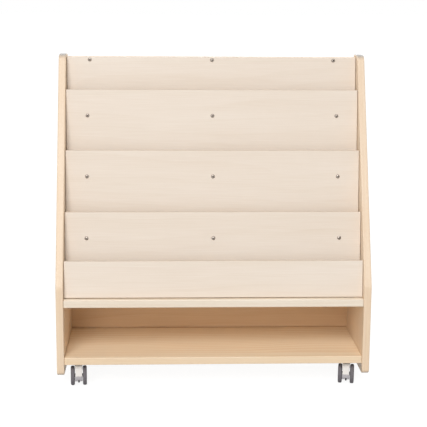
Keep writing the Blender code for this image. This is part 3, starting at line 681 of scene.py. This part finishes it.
def seat_height(tier):
    """Top of what a display panel stands on."""
    carrier = "middle_shelf" if tier == TIERS[0] else f"book_ledge_{tier - 1}"
    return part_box(carrier)[1].z


def panel_depth(boards):
    """A display panel's thickness along Y."""
    return boards.panel_thickness / math.cos(boards.lean)


def front_of(node, height, boards):
    """Y of a leaning board's front face at a height."""
    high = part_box(node)[1]
    return high.y - panel_depth(boards) - (high.z - height) * math.tan(boards.lean)


def grain_axes(grain, thickness):
    """The axes of a board whose X is its grain and whose Z is its thickness."""
    along = Vector(grain)
    through = Vector(thickness)
    return Matrix((along, through.cross(along), through)).transposed()


LEVEL_GRAIN = grain_axes((1, 0, 0), (0, 0, 1))
UPRIGHT_GRAIN = grain_axes((0, 0, 1), (1, 0, 0))
FACING_GRAIN = grain_axes((1, 0, 0), (0, -1, 0))


def caster_places(corners=CORNERS):
    """Each caster's name, with the place of its plate and that of its turning part."""
    for corner in corners:
        name = f"caster_{corner}"
        spot = Vector(JOINTS[name + "_swivel"]["pos_m"])
        spot.z = 0.0
        axis = JOINTS[name + "_roll_left"]["axis"]
        fixed = Matrix.Translation(spot)
        yield name, fixed, fixed @ Matrix.Rotation(math.atan2(axis[1], axis[0]), 4, "Z")


def axle_point(sizes):
    """The axle's place in a caster, as (y, z)."""
    return (-sizes.trail, sizes.wheel_radius)


def axle_place(sizes):
    """The axle's place in a caster, with Z along the axle."""
    return Matrix.Translation((0, *axle_point(sizes))) @ Matrix.Rotation(math.pi / 2, 4, "Y")


# Boards


def add_board(node, outline, low_x, high_x, axes, material, edge):
    """A board in its own grain frame, from its outline of (y, z) points."""
    mesh = prism(node + "_board", outline, low_x, high_x)
    rows = [point[0] for point in outline]
    heights = [point[1] for point in outline]
    middle = ((low_x + high_x) / 2, (min(rows) + max(rows)) / 2, (min(heights) + max(heights)) / 2)
    spot = Matrix.Translation(middle) @ axes.to_4x4()
    mesh.transform(spot.inverted())
    mesh.materials.append(material)
    round_edges(add_piece(node + "_board", mesh, spot, CARCASS, node), edge)


def leaning_front(low, high, boards):
    """The outline of a board whose front edge leans with the display panels."""
    slant = (high.z - low.z) * math.tan(boards.lean)
    return [(low.y, low.z), (low.y + slant, high.z), (high.y, high.z), (high.y, low.z)]


class BOOKDISPLAY_OT_sides(bpy.types.Operator):
    """Adds the two side panels"""

    bl_idname = "book_display.sides"
    bl_label = "Sides"

    def execute(self, context):
        boards = context.scene.book_display_boards
        material = side_timber(context.scene.book_display_colours)
        for node in ("side_panel_left", "side_panel_right"):
            low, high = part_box(node)
            corners = [
                (low.y, low.z, boards.corner_radius),
                (low.y, boards.knee_height, boards.knee_radius),
                (high.y - boards.top_depth, high.z, boards.nose_radius),
                (high.y, high.z, boards.corner_radius),
                (high.y, low.z, boards.corner_radius),
            ]
            outline = rounded_outline(corners)
            add_board(node, outline, low.x, high.x, UPRIGHT_GRAIN, material, boards.side_edge)
        return {"FINISHED"}


class BOOKDISPLAY_OT_shelves(bpy.types.Operator):
    """Adds the bottom shelf and the middle shelf"""

    bl_idname = "book_display.shelves"
    bl_label = "Shelves"

    def execute(self, context):
        boards = context.scene.book_display_boards
        tones = context.scene.book_display_colours
        end = board_end(boards.board_gap)
        finishes = {"bottom_shelf": shelf_timber(tones), "middle_shelf": shelf_timber(tones, middle=True)}
        for node, material in finishes.items():
            outline = rectangle(*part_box(node))
            add_board(node, outline, -end, end, LEVEL_GRAIN, material, boards.shelf_edge)
        return {"FINISHED"}


class BOOKDISPLAY_OT_back(bpy.types.Operator):
    """Adds the back panel and the top rail in front of it"""

    bl_idname = "book_display.back"
    bl_label = "Back and rail"

    def execute(self, context):
        boards = context.scene.book_display_boards
        tones = context.scene.book_display_colours
        low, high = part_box("back_panel")
        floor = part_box("bottom_shelf")[1].z
        above = floor + boards.back_rebate
        inside = low.y + boards.back_rebate_depth
        outline = rectangle(low, high)
        outline[1:1] = [(low.y, floor), (inside, floor), (inside, above), (low.y, above)]
        edge = boards.panel_edge
        add_board("back_panel", outline, low.x, high.x, FACING_GRAIN, back_timber(tones), edge)
        outline = leaning_front(*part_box("top_rail"), boards)
        end = board_end(boards.board_gap)
        add_board("top_rail", outline, -end, end, FACING_GRAIN, shelf_timber(tones), edge)
        return {"FINISHED"}


class BOOKDISPLAY_OT_panels(bpy.types.Operator):
    """Adds the leaning display panels and the front lip"""

    bl_idname = "book_display.panels"
    bl_label = "Display panels"

    def execute(self, context):
        boards = context.scene.book_display_boards
        material = panel_timber(context.scene.book_display_colours)
        axes = grain_axes((1, 0, 0), (0, -math.cos(boards.lean), math.sin(boards.lean)))
        end = board_end(boards.panel_end_gap)
        depth = panel_depth(boards)
        seats = {f"display_panel_{tier}": seat_height(tier) for tier in TIERS}
        seats["front_lip"] = seat_height(TIERS[0])
        for node, seat in seats.items():
            low = seat + boards.board_gap
            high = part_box(node)[1].z
            foot = front_of(node, low, boards)
            top = front_of(node, high, boards)
            outline = [(foot, low), (top, high), (top + depth, high), (foot + depth, low)]
            if node == "front_lip":
                ledge = low + boards.lip_rebate
                inside = foot + boards.lip_rebate_depth
                outline[:1] = [(inside, low), (inside, ledge), (front_of(node, ledge, boards), ledge)]
            add_board(node, outline, -end, end, axes, material, boards.panel_edge)
        return {"FINISHED"}


class BOOKDISPLAY_OT_ledges(bpy.types.Operator):
    """Adds the ledges that the books stand on"""

    bl_idname = "book_display.ledges"
    bl_label = "Book ledges"

    def execute(self, context):
        boards = context.scene.book_display_boards
        material = shelf_timber(context.scene.book_display_colours)
        end = board_end(boards.board_gap)
        for tier in TIERS[:-1]:
            node = f"book_ledge_{tier}"
            outline = leaning_front(*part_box(node), boards)
            add_board(node, outline, -end, end, LEVEL_GRAIN, material, boards.panel_edge)
        return {"FINISHED"}


# Screws

DOME_TURNS = (0.0, 0.25, 0.5, 0.75, 1.0, 1.2, 1.35)  # from the top of a dome to its rim, in radians
RIM_SHARE = 0.6  # height of the upright wall under the dome, as a share of the rim's height
RECESS_FLOOR = 0.45  # length of the recess at its floor, as a share of its length at the top
RECESS_ARMS = ((math.radians(50), 1.0), (math.radians(140), 0.95))  # turn of each arm and share of its depth
STATION_SPIN = 0.7  # how far each screw is turned from the one beside it, in radians
TIER_SPIN = 1.1  # and from the one below it


def domed_screw(name, radius, height, shank_radius, shank_length, screws, tones):
    """A domed head above 0 with a cross recess whose cut faces carry a painted shade, and a shank below 0."""
    profile = [(radius * math.sin(turn), height * math.cos(turn)) for turn in DOME_TURNS]
    rim = profile[-1][1]
    profile += [(radius, rim * RIM_SHARE), (radius, 0.0), (shank_radius, 0.0)]
    profile += [(shank_radius, shank_radius - shank_length), (0.0, -shank_length)]
    head = helper(turned(name, profile, SCREW_STEPS), screw_steel(tones))
    share = radius / screws.head_radius
    arms = []
    for turn, depth in RECESS_ARMS:
        bar = recess_arm(screws, share, height, depth * screws.recess_depth * share)
        # Each arm cuts the recess and leaves its painted shade on the cut faces.
        arms.append(helper(bar, recess_shade_paint(tones), Matrix.Rotation(turn, 4, "Z")))
    return combined(name, head, cuts=arms)


def recess_arm(screws, share, height, depth):
    """One bar of the cross recess, shorter at its floor."""
    reach = screws.recess_reach * share
    half = screws.recess_width * share / 2
    floor = height - depth
    above = 2 * height
    inner = reach * RECESS_FLOOR
    outline = [(-reach, above), (-reach, height), (-inner, floor)]
    outline += [(inner, floor), (reach, height), (reach, above)]
    return prism("recess_arm", outline, -half, half)


class BOOKDISPLAY_OT_screws(bpy.types.Operator):
    """Adds the domed screws of the display panels"""

    bl_idname = "book_display.screws"
    bl_label = "Display screws"

    def execute(self, context):
        boards = context.scene.book_display_boards
        screws = context.scene.book_display_screws
        head = (screws.head_radius, screws.head_height)
        shank = (screws.shank_radius, screws.shank_length)
        mesh = domed_screw("display_screw", *head, *shank, screws, context.scene.book_display_colours)
        outward = Vector((0, -math.cos(boards.lean), math.sin(boards.lean)))
        facing = outward.to_track_quat("Z", "Y").to_matrix().to_4x4()
        for tier in TIERS:
            panel = f"display_panel_{tier}"
            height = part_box(panel)[1].z - screws.top_drop
            if tier != TOP_TIER:
                low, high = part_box(f"book_ledge_{tier}")
                height = (low.z + high.z) / 2
            for order, station in enumerate(STATIONS):
                node = f"display_screw_{tier}_{station}"
                low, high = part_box(node)
                spot = Vector(((low.x + high.x) / 2, front_of(panel, height, boards), height))
                spot += outward * boards.board_gap
                spin = Matrix.Rotation(STATION_SPIN * order + TIER_SPIN * tier, 4, "Z")
                turned_spot = Matrix.Translation(spot) @ facing @ spin
                add_piece(node + "_domed", mesh, turned_spot, CARCASS, node)
        return {"FINISHED"}


# Casters


HALF_STEP = Matrix.Rotation(math.pi / CASTER_STEPS, 4, "Z")  # keeps a round cutter's edges off those it cuts


def axle_cutter(name, radius, sizes, material):
    """A bar along a caster's axle that cuts a hole."""
    reach = sizes.wheel_spacing
    profile = [(0, reach), (radius, reach), (radius, -reach), (0, -reach)]
    return helper(turned(name, profile, CASTER_STEPS), material, axle_place(sizes) @ HALF_STEP)


class BOOKDISPLAY_OT_caster_plates(bpy.types.Operator):
    """Adds the fixing plates of the casters with their screws, and finishes the kingpins"""

    bl_idname = "book_display.caster_plates"
    bl_label = "Caster plates"

    EDGE = 0.0005
    SCREW_SINK = 0.0002  # how far the heads reach into the plate, so that they are one with it

    def execute(self, context):
        scene = context.scene
        zinc = zinc_plate(scene.book_display_colours)
        mesh = self.plate_mesh(scene, scene.book_display_casters, zinc)
        for name, fixed, _ in caster_places():
            add_piece(name + "_fixing", mesh, fixed, CARCASS, name + "_plate")
            dress_solid(name + "_kingpin", zinc)
        return {"FINISHED"}

    def plate_mesh(self, scene, sizes, zinc):
        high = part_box(f"caster_{CORNERS[0]}_kingpin")[1].z
        low = high - sizes.plate_thickness
        half = sizes.plate_size / 2
        square = ((-half, -half), (-half, half), (half, half), (half, -half))
        corners = [(y, z, sizes.plate_corner) for y, z in square]
        mesh = prism("fixing_plate", rounded_outline(corners), low, high)
        mesh.transform(Matrix.Rotation(-math.pi / 2, 4, "Y"))
        plate = round_edges(helper(mesh, zinc), self.EDGE, SMALL_EDGE_SEGMENTS)
        offset = sizes.plate_screw_offset
        heads = []
        for x in (-offset, offset):
            for y in (-offset, offset):
                spot = Matrix.Translation((x, y, low + self.SCREW_SINK)) @ Matrix.Rotation(math.pi, 4, "X")
                heads.append(helper(self.screw_mesh(scene), spot=spot))
        return combined("caster_plate", plate, joins=heads)

    def screw_mesh(self, scene):
        screws = scene.book_display_screws
        head = (screws.plate_head_radius, screws.plate_head_height)
        shank = (screws.plate_shank_radius, screws.plate_shank_length)
        return domed_screw("plate_screw", *head, *shank, screws, scene.book_display_colours)


class BOOKDISPLAY_OT_caster_bodies(bpy.types.Operator):
    """Adds the caster bodies between the wheels, and finishes the axles"""

    bl_idname = "book_display.caster_bodies"
    bl_label = "Caster bodies"

    FLANGE_ROUND = 0.0013
    FLANGE_FOOT_ROUND = 0.0018
    NECK_ROUND = 0.0006
    BOSS_ROUND = 0.0024
    WEB_START = math.radians(20)
    WEB_END = math.radians(-220)
    WEB_EDGE = 0.0012
    HUB_CHAMFER = 0.0004
    GROOVE_START = 0.0009
    GROOVE_WIDTH = 0.0008
    GROOVE_DEPTH = 0.0005
    GROOVE_SLOPE = 0.0002
    KEEL_HIGH = 0.004
    KEEL_ROUND = 0.0014
    KEEL_EDGE = 0.0007

    def execute(self, context):
        sizes = context.scene.book_display_casters
        tones = context.scene.book_display_colours
        mesh = self.body_mesh(sizes, tones)
        for name, _, turning in caster_places():
            add_piece(name + "_housing", mesh, turning, name + "_fork", name + "_body")
            dress_solid(name + "_axle", zinc_plate(tones))
        return {"FINISHED"}

    def body_mesh(self, sizes, tones):
        pale = body_plastic(tones)
        grey = web_plastic(tones)
        web = self.web_helper(sizes, grey)
        joins = [self.boss_helper(sizes, pale), self.hub_helper(sizes, grey), self.keel_helper(sizes, tones)]
        cuts = [self.pin_cutter(sizes, pale), axle_cutter("axle_hole", sizes.axle_hole, sizes, grey)]
        return combined("caster_housing", web, joins, cuts)

    def boss_helper(self, sizes, plastic):
        """A flange under the plate, and a boss below it between the wheels."""
        corners = [
            (0.0, sizes.body_top, 0.0),
            (sizes.flange_radius, sizes.body_top, self.FLANGE_ROUND),
            (sizes.flange_radius, sizes.flange_low, self.FLANGE_FOOT_ROUND),
            (sizes.boss_radius, sizes.flange_low, self.NECK_ROUND),
            (sizes.boss_radius, sizes.boss_low, self.BOSS_ROUND),
            (0.0, sizes.boss_low, 0.0),
        ]
        return helper(turned("boss", rounded_outline(corners, ROUND_STEPS), CASTER_STEPS), plastic)

    def pin_cutter(self, sizes, plastic):
        """Cuts the hole for the kingpin and its collar."""
        low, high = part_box(f"caster_{CORNERS[0]}_kingpin")
        gap = sizes.running_gap
        floor = low.z - gap
        step = sizes.body_top - sizes.collar_height - gap
        pin = sizes.pin_radius + gap
        collar = sizes.collar_radius + gap
        profile = [(0, high.z), (collar, high.z), (collar, step), (pin, step), (pin, floor), (0, floor)]
        return helper(turned("pin_hole", profile, CASTER_STEPS), plastic, HALF_STEP)

    def web_helper(self, sizes, grey):
        """A rounded web that carries the hub."""
        outline = [(sizes.web_reach, sizes.web_top)]
        outline += arc(axle_point(sizes), sizes.web_radius, self.WEB_START, self.WEB_END, PEDAL_STEPS)
        outline += [(-sizes.web_reach, sizes.web_top)]
        half = sizes.web_width / 2
        return round_edges(helper(prism("web", outline, -half, half), grey), self.WEB_EDGE)

    def hub_helper(self, sizes, grey):
        """The hub, with a groove near each end."""
        half = sizes.hub_width / 2
        radius = sizes.hub_radius
        groove = radius - self.GROOVE_DEPTH
        start = half - self.GROOVE_START
        stop = start - self.GROOVE_WIDTH
        chamfer = self.HUB_CHAMFER
        end = [(0.0, half), (radius - chamfer, half), (radius, half - chamfer), (radius, start)]
        end += [(groove, start - self.GROOVE_SLOPE), (groove, stop + self.GROOVE_SLOPE), (radius, stop)]
        mirrored = [(distance, -height) for distance, height in reversed(end)]
        return helper(turned("hub", end + mirrored, CASTER_STEPS), grey, axle_place(sizes))

    def keel_helper(self, sizes, tones):
        """A dark keel that hangs from the web."""
        y, z = axle_point(sizes)
        reach = sizes.keel_length / 2
        high = z - self.KEEL_HIGH
        corners = [
            (y - reach, sizes.keel_low, self.KEEL_ROUND),
            (y - reach, high, 0.0),
            (y + reach, high, 0.0),
            (y + reach, sizes.keel_low, self.KEEL_ROUND),
        ]
        half = sizes.keel_width / 2
        keel = helper(prism("keel", rounded_outline(corners), -half, half), keel_rubber(tones))
        return round_edges(keel, self.KEEL_EDGE, SMALL_EDGE_SEGMENTS)


class BOOKDISPLAY_OT_wheels(bpy.types.Operator):
    """Adds the wheel cores and their tyres"""

    bl_idname = "book_display.wheels"
    bl_label = "Wheels"

    FACE_INSET = 0.0005  # rim and cap behind the side of the tyre
    DISH = 0.0031  # outer dish below the side of the tyre
    BACK_DISH = 0.0023  # the same on the inside
    RING_WIDTH = 0.0026  # rim at its face
    RING_FOOT = 0.0042  # rim at the floor of the dish
    CAP_INSET = 0.0003
    CAP_ROUND = 0.0012
    CAP_THICKNESS = 0.0027
    DISH_ROUND = 0.0006
    RING_ROUND = 0.0009
    RIM_ROUND = 0.0006
    RIBS = 6
    RIB_WIDTH = 0.0012
    RIB_TOP = 0.0016
    RIB_LOW = 0.0042
    RIB_OVERLAP = 0.0012
    RIB_EDGE = 0.0003
    SHOULDER = 0.0034
    LINE_DROP = 0.0044  # line on the tyre's wall, from the tread
    LINE_WIDTH = 0.0004
    LINE_DEPTH = 0.0003

    def execute(self, context):
        sizes = context.scene.book_display_casters
        tones = context.scene.book_display_colours
        core = self.core_mesh(sizes, wheel_plastic(tones))
        tyre = self.tyre_mesh(sizes)
        tyre.materials.append(tyre_rubber(tones))
        middle = (sizes.wheel_spacing + sizes.wheel_width) / 2
        for name, _, turning in caster_places():
            for end, side in WHEEL_SIDES.items():
                spot = Matrix.Translation((side * middle, *axle_point(sizes)))
                spot = turning @ spot @ Matrix.Rotation(side * math.pi / 2, 4, "Y")
                body = f"{name}_wheel_{end}"
                node = f"{name}_wheel_core_{end}"
                add_piece(f"{name}_spoked_core_{end}", core, spot, body, node)
                node = f"{name}_tyre_{end}"
                add_piece(f"{name}_tread_{end}", tyre, spot, body, node)
        return {"FINISHED"}

    def core_mesh(self, sizes, plastic):
        """A dished core with its outer face towards +Z, ribs, a cap and a blind bore."""
        rim = sizes.wheel_radius - sizes.tyre_thickness - sizes.fit_gap
        half = sizes.wheel_width / 2
        hub = sizes.hub_radius
        cap = hub - self.CAP_INSET
        face = half - self.FACE_INSET
        dish = half - self.DISH
        back = self.BACK_DISH - half
        hub_face = (sizes.hub_width - sizes.wheel_spacing - sizes.wheel_width) / 2 + sizes.fit_gap
        bore_end = half - self.CAP_THICKNESS
        corners = [
            (0.0, face, 0.0),
            (cap, face, self.CAP_ROUND),
            (cap, dish, self.DISH_ROUND),
            (rim - self.RING_FOOT, dish, self.RING_ROUND),
            (rim - self.RING_WIDTH, face, self.RING_ROUND),
            (rim, face, self.RIM_ROUND),
            (rim, -face, self.RIM_ROUND),
            (rim - self.RING_WIDTH, -face, self.RING_ROUND),
            (rim - self.RING_FOOT, back, self.RING_ROUND),
            (hub, back, self.RING_ROUND),
            (hub, hub_face, 0.0),
            (sizes.axle_bore, hub_face, 0.0),
            (sizes.axle_bore, bore_end, 0.0),
            (0.0, bore_end, 0.0),
        ]
        core = helper(turned("core", rounded_outline(corners, ROUND_STEPS), WHEEL_STEPS), plastic)
        low = Vector((hub - self.RIB_OVERLAP, -self.RIB_WIDTH / 2, half - self.RIB_LOW))
        high = Vector((rim - self.RING_FOOT + self.RIB_OVERLAP, self.RIB_WIDTH / 2, half - self.RIB_TOP))
        ribs = []
        for number in range(self.RIBS):
            spot = Matrix.Rotation(2 * math.pi * number / self.RIBS, 4, "Z")
            rib = helper(prism("rib", rectangle(low, high), low.x, high.x), plastic, spot)
            ribs.append(round_edges(rib, self.RIB_EDGE, SMALL_EDGE_SEGMENTS))
        return combined("wheel_core", core, joins=ribs)

    def tyre_mesh(self, sizes):
        """A tyre with round shoulders and a shallow line round each wall."""
        tread = sizes.wheel_radius
        half = sizes.wheel_width / 2
        line = tread - self.LINE_DROP
        wall = [
            (tread - sizes.tyre_thickness, half, 0.0),
            (line - self.LINE_WIDTH, half, 0.0),
            (line, half - self.LINE_DEPTH, 0.0),
            (line + self.LINE_WIDTH, half, 0.0),
            (tread, half, self.SHOULDER),
        ]
        corners = wall + [(radius, -height, rounding) for radius, height, rounding in reversed(wall)]
        return turned("tyre", rounded_outline(corners, ROUND_STEPS), WHEEL_STEPS, ring=True)


class BOOKDISPLAY_OT_brake_pedals(bpy.types.Operator):
    """Adds the brake pedals of the front casters"""

    bl_idname = "book_display.brake_pedals"
    bl_label = "Brake pedals"

    TIP_ANGLE = math.radians(8)
    BEND_ANGLE = math.radians(20)
    CROWN = 0.0007
    CROWN_SHARE = 1 / 3  # most that the crown takes of the tongue's thickness
    CROWN_RADIUS = 0.1
    EDGE_SHARE = 0.3  # rounding of the tongue's long edges, as a share of its thickness
    END_ROUND = 0.0012
    SECTIONS = 72
    EAR_ANGLE = math.radians(19)
    EAR_SPREAD = math.radians(20)
    EAR_THICKNESS = 0.0017
    EAR_STEPS = 6
    EYE_RADIUS = 0.008
    BLOCK_ANGLE = math.radians(-30)
    BLOCK_INSIDE = 0.0165
    BLOCK_OUTSIDE = 0.0216
    BLOCK_HALF_WIDTH = 0.0096
    BLOCK_EDGE = 0.0011
    NOTCH_HALF_WIDTH = 0.0024
    NOTCH_TOP = 0.0195

    def execute(self, context):
        sizes = context.scene.book_display_casters
        tones = context.scene.book_display_colours
        mesh = self.pedal_mesh(sizes, body_plastic(tones), web_plastic(tones))
        for name, _, turning in caster_places(BRAKED_CORNERS):
            node = name + "_brake_pedal"
            add_piece(name + "_brake_tongue", mesh, turning, name + "_brake", node)
        return {"FINISHED"}

    def pedal_mesh(self, sizes, plastic, grey):
        tongue = helper(self.tongue_mesh(sizes), plastic)
        joins = [helper(self.ear_mesh(sizes, side), plastic) for side in WHEEL_SIDES.values()]
        joins.append(self.block_helper(sizes, grey))
        eye = axle_cutter("eye", sizes.hub_radius + sizes.running_gap, sizes, plastic)
        return combined("brake_tongue", tongue, joins, cuts=[eye])

    def tongue_mesh(self, sizes):
        """An arc in front of the axle that runs on straight up to the top."""
        outside = sizes.pedal_radius + sizes.pedal_thickness
        rise = sizes.pedal_top - sizes.wheel_radius - outside * math.sin(self.BEND_ANGLE)
        total = sizes.pedal_radius * (self.BEND_ANGLE - self.TIP_ANGLE) + rise / math.cos(self.BEND_ANGLE)
        sections = []
        for step in range(self.SECTIONS + 1):
            share = step / self.SECTIONS
            short = max(0.0, self.END_ROUND - total * min(share, 1.0 - share))
            inset = self.END_ROUND - math.sqrt(self.END_ROUND**2 - short**2)
            sections.append(self.tongue_section(sizes, total * share, share, inset))
        return swept("tongue", sections)

    def tongue_section(self, sizes, distance, share, inset):
        """A rounded section of the tongue at a distance from its tip, drawn in near its ends."""
        turn = min(self.TIP_ANGLE + distance / sizes.pedal_radius, self.BEND_ANGLE)
        straight = max(0.0, distance - sizes.pedal_radius * (self.BEND_ANGLE - self.TIP_ANGLE))
        width = sizes.pedal_tip_width + (sizes.pedal_top_width - sizes.pedal_tip_width) * share
        half = width / 2 - inset
        inside = sizes.pedal_radius + inset
        outside = sizes.pedal_radius + sizes.pedal_thickness - inset
        crown = min(self.CROWN, (outside - inside) * self.CROWN_SHARE)
        edge = self.EDGE_SHARE * (outside - crown - inside)
        corners = [
            (-half, inside, edge),
            (-half, outside - crown, edge),
            (0.0, outside, self.CROWN_RADIUS * crown / self.CROWN),
            (half, outside - crown, edge),
            (half, inside, edge),
        ]
        section = []
        for x, radius in rounded_outline(corners):
            ahead = sizes.trail + radius * math.cos(turn) - straight * math.sin(turn)
            above = sizes.wheel_radius + radius * math.sin(turn) + straight * math.cos(turn)
            section.append((x, -ahead, above))
        return section

    def block_helper(self, sizes, grey):
        """The brake block behind the lower end of the tongue, with a notch in its middle."""
        axle = axle_point(sizes)
        high = math.pi - self.EAR_ANGLE
        low = math.pi - self.BLOCK_ANGLE
        outline = arc(axle, self.BLOCK_OUTSIDE, low, high, CORNER_STEPS)
        outline += arc(axle, self.BLOCK_INSIDE, high, low, CORNER_STEPS)
        block = helper(prism("block", outline, -self.BLOCK_HALF_WIDTH, self.BLOCK_HALF_WIDTH), grey)
        round_edges(block, self.BLOCK_EDGE)
        near = Vector((-self.NOTCH_HALF_WIDTH, axle[0] - sizes.wheel_radius, 0.0))
        far = Vector((self.NOTCH_HALF_WIDTH, axle[0], self.NOTCH_TOP))
        notch = helper(prism("notch", rectangle(near, far), near.x, far.x), grey)
        return helper(combined("brake_block", block, cuts=[notch]))

    def ear_mesh(self, sizes, side):
        """A flat ear from the tongue to the hub, which it holds with an eye."""
        axle = axle_point(sizes)
        inside = sizes.web_width / 2 + sizes.fit_gap
        low_x, high_x = sorted((side * inside, side * (inside + self.EAR_THICKNESS)))
        reach = sizes.pedal_radius + sizes.pedal_thickness / 2
        middle = math.pi - self.EAR_ANGLE
        half = self.EAR_SPREAD / 2
        outline = arc(axle, reach, middle + half, middle - half, self.EAR_STEPS)
        outline += arc(axle, self.EYE_RADIUS, middle - math.pi / 2, middle - 3 * math.pi / 2, PEDAL_STEPS)
        return prism("ear", outline, low_x, high_x)


# Stage


class BOOKDISPLAY_OT_stage(bpy.types.Operator):
    """Adds the floor, the lamps, the white surroundings and the camera"""

    bl_idname = "book_display.stage"
    bl_label = "Stage"

    CAMERA_REACH = 200.0
    FLOOR_ROUGHNESS = 0.9

    def execute(self, context):
        scene = context.scene
        stage = scene.book_display_stage
        scene.view_settings.view_transform = "Standard"
        self.add_floor(stage)
        self.add_surroundings(scene, stage)
        self.add_lamps(scene, stage)
        self.add_camera(scene, stage)
        return {"FINISHED"}

    def seen_share(self, graph):
        """1 for the rays that show the surroundings themselves, and 0 for the rays that light the display."""
        rays = graph.add("LightPath", {}).outputs
        seen = graph.math("MAXIMUM", rays["Is Camera Ray"], rays["Is Glossy Ray"])
        return graph.math("MAXIMUM", seen, rays["Is Transmission Ray"])

    def add_floor(self, stage):
        bm = bmesh.new()
        bmesh.ops.create_grid(bm, x_segments=2, y_segments=2, size=stage.floor_size / 2)
        material = finish("pale_floor", self.floor_nodes, stage=stage)
        helper(finished(bm, "studio_floor"), material)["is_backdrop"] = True

    def floor_nodes(self, graph, shader, stage):
        """A pale floor that looks white and keeps the shadow of the display."""
        graph.feed(shader.inputs["Base Color"], stage.floor)
        shader.inputs["Roughness"].default_value = self.FLOOR_ROUGHNESS
        shader.inputs["Specular IOR Level"].default_value = 0.0
        shade = stage.floor_shade
        lit = graph.add("BsdfDiffuse", {"Color": (shade, shade, shade)})
        glow = graph.add("Emission", {"Color": WHITE, "Strength": stage.floor_glow})
        white = graph.add("AddShader", {0: lit.outputs[0], 1: glow.outputs[0]})
        mixed = graph.add("MixShader", {0: self.seen_share(graph), 1: shader.outputs[0], 2: white.outputs[0]})
        graph.feed(graph.tree.nodes["Material Output"].inputs["Surface"], mixed.outputs[0])

    def add_surroundings(self, scene, stage):
        """White as seen, and a soft fill light from all round."""
        scene.world = bpy.data.worlds.new("white_studio")
        graph = Graph(scene.world)
        light = graph.tree.nodes["Background"]
        graph.feed(light.inputs["Color"], WHITE)
        graph.feed(light.inputs["Strength"], graph.line(self.seen_share(graph), 1.0 - stage.fill, stage.fill))

    def add_lamps(self, scene, stage):
        """A key light in front, a wide one behind, and a low lamp that reaches into the bay."""
        key = self.add_lamp(scene, "key", "SUN", CAD_MIDDLE + Vector(stage.key_place), stage.key_strength)
        key.angle = stage.key_spread
        rear = self.add_lamp(scene, "rear", "SUN", CAD_MIDDLE + Vector(stage.rear_place), stage.rear_strength)
        rear.angle = stage.rear_spread
        low = self.add_lamp(scene, "low", "AREA", Vector(stage.low_place), stage.low_power)
        low.size = stage.low_size

    def add_lamp(self, scene, name, kind, spot, energy):
        """A lamp at a spot, which shines at the middle of the display."""
        light = bpy.data.lights.new(name, kind)
        light.energy = energy
        lamp = bpy.data.objects.new(name, light)
        scene.collection.objects.link(lamp)
        lamp.location = spot
        lamp.rotation_euler = (CAD_MIDDLE - spot).to_track_quat("-Z", "Y").to_euler()
        return light

    def add_camera(self, scene, stage):
        data = bpy.data.cameras.new("camera")
        data.sensor_width = SENSOR_WIDTH
        data.lens = stage.focal_pixels * SENSOR_WIDTH / PHOTO_WIDTH
        data.clip_end = self.CAMERA_REACH
        camera = bpy.data.objects.new("camera", data)
        scene.collection.objects.link(camera)
        pitch, roll, heading = stage.camera_turn
        turn = Matrix.Rotation(heading, 4, "Z") @ Matrix.Rotation(math.pi / 2 + pitch, 4, "X")
        camera.matrix_world = Matrix.Translation(stage.camera_place) @ turn @ Matrix.Rotation(roll, 4, "Z")
        scene.camera = camera


# Add-on

SETTINGS = {
    "book_display_boards": BoardSizes,
    "book_display_screws": ScrewSizes,
    "book_display_casters": CasterSizes,
    "book_display_colours": FinishColours,
    "book_display_stage": StageSettings,
}

OPERATORS = (
    BOOKDISPLAY_OT_sides,
    BOOKDISPLAY_OT_shelves,
    BOOKDISPLAY_OT_back,
    BOOKDISPLAY_OT_panels,
    BOOKDISPLAY_OT_ledges,
    BOOKDISPLAY_OT_screws,
    BOOKDISPLAY_OT_caster_plates,
    BOOKDISPLAY_OT_caster_bodies,
    BOOKDISPLAY_OT_wheels,
    BOOKDISPLAY_OT_brake_pedals,
    BOOKDISPLAY_OT_stage,
)


class BOOKDISPLAY_PT_sidebar(bpy.types.Panel):
    """Lists the pieces of the display and their settings"""

    bl_idname = "BOOKDISPLAY_PT_sidebar"
    bl_label = "Mobile book display"
    bl_space_type = "VIEW_3D"
    bl_region_type = "UI"
    bl_category = "Book display"

    def draw(self, context):
        for operator in OPERATORS:
            self.layout.operator(operator.bl_idname)
        for name, group in SETTINGS.items():
            box = self.layout.box()
            box.label(text=group.__doc__)
            for key in group.__annotations__:
                box.prop(getattr(context.scene, name), key)


def register():
    for group in (*SETTINGS.values(), *OPERATORS, BOOKDISPLAY_PT_sidebar):
        bpy.utils.register_class(group)
    for name, group in SETTINGS.items():
        setattr(bpy.types.Scene, name, PointerProperty(type=group))


def unregister():
    for name in SETTINGS:
        delattr(bpy.types.Scene, name)
    for group in reversed((*SETTINGS.values(), *OPERATORS, BOOKDISPLAY_PT_sidebar)):
        bpy.utils.unregister_class(group)


def main():
    register()
    for operator in OPERATORS:
        family, name = operator.bl_idname.split(".")
        getattr(getattr(bpy.ops, family), name)()
    boxes = {"cad": CAD_BOX, "visual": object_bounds()}
    {name: [list(corner) for corner in box] for name, box in boxes.items()}


if __name__ == "__main__":
    main()
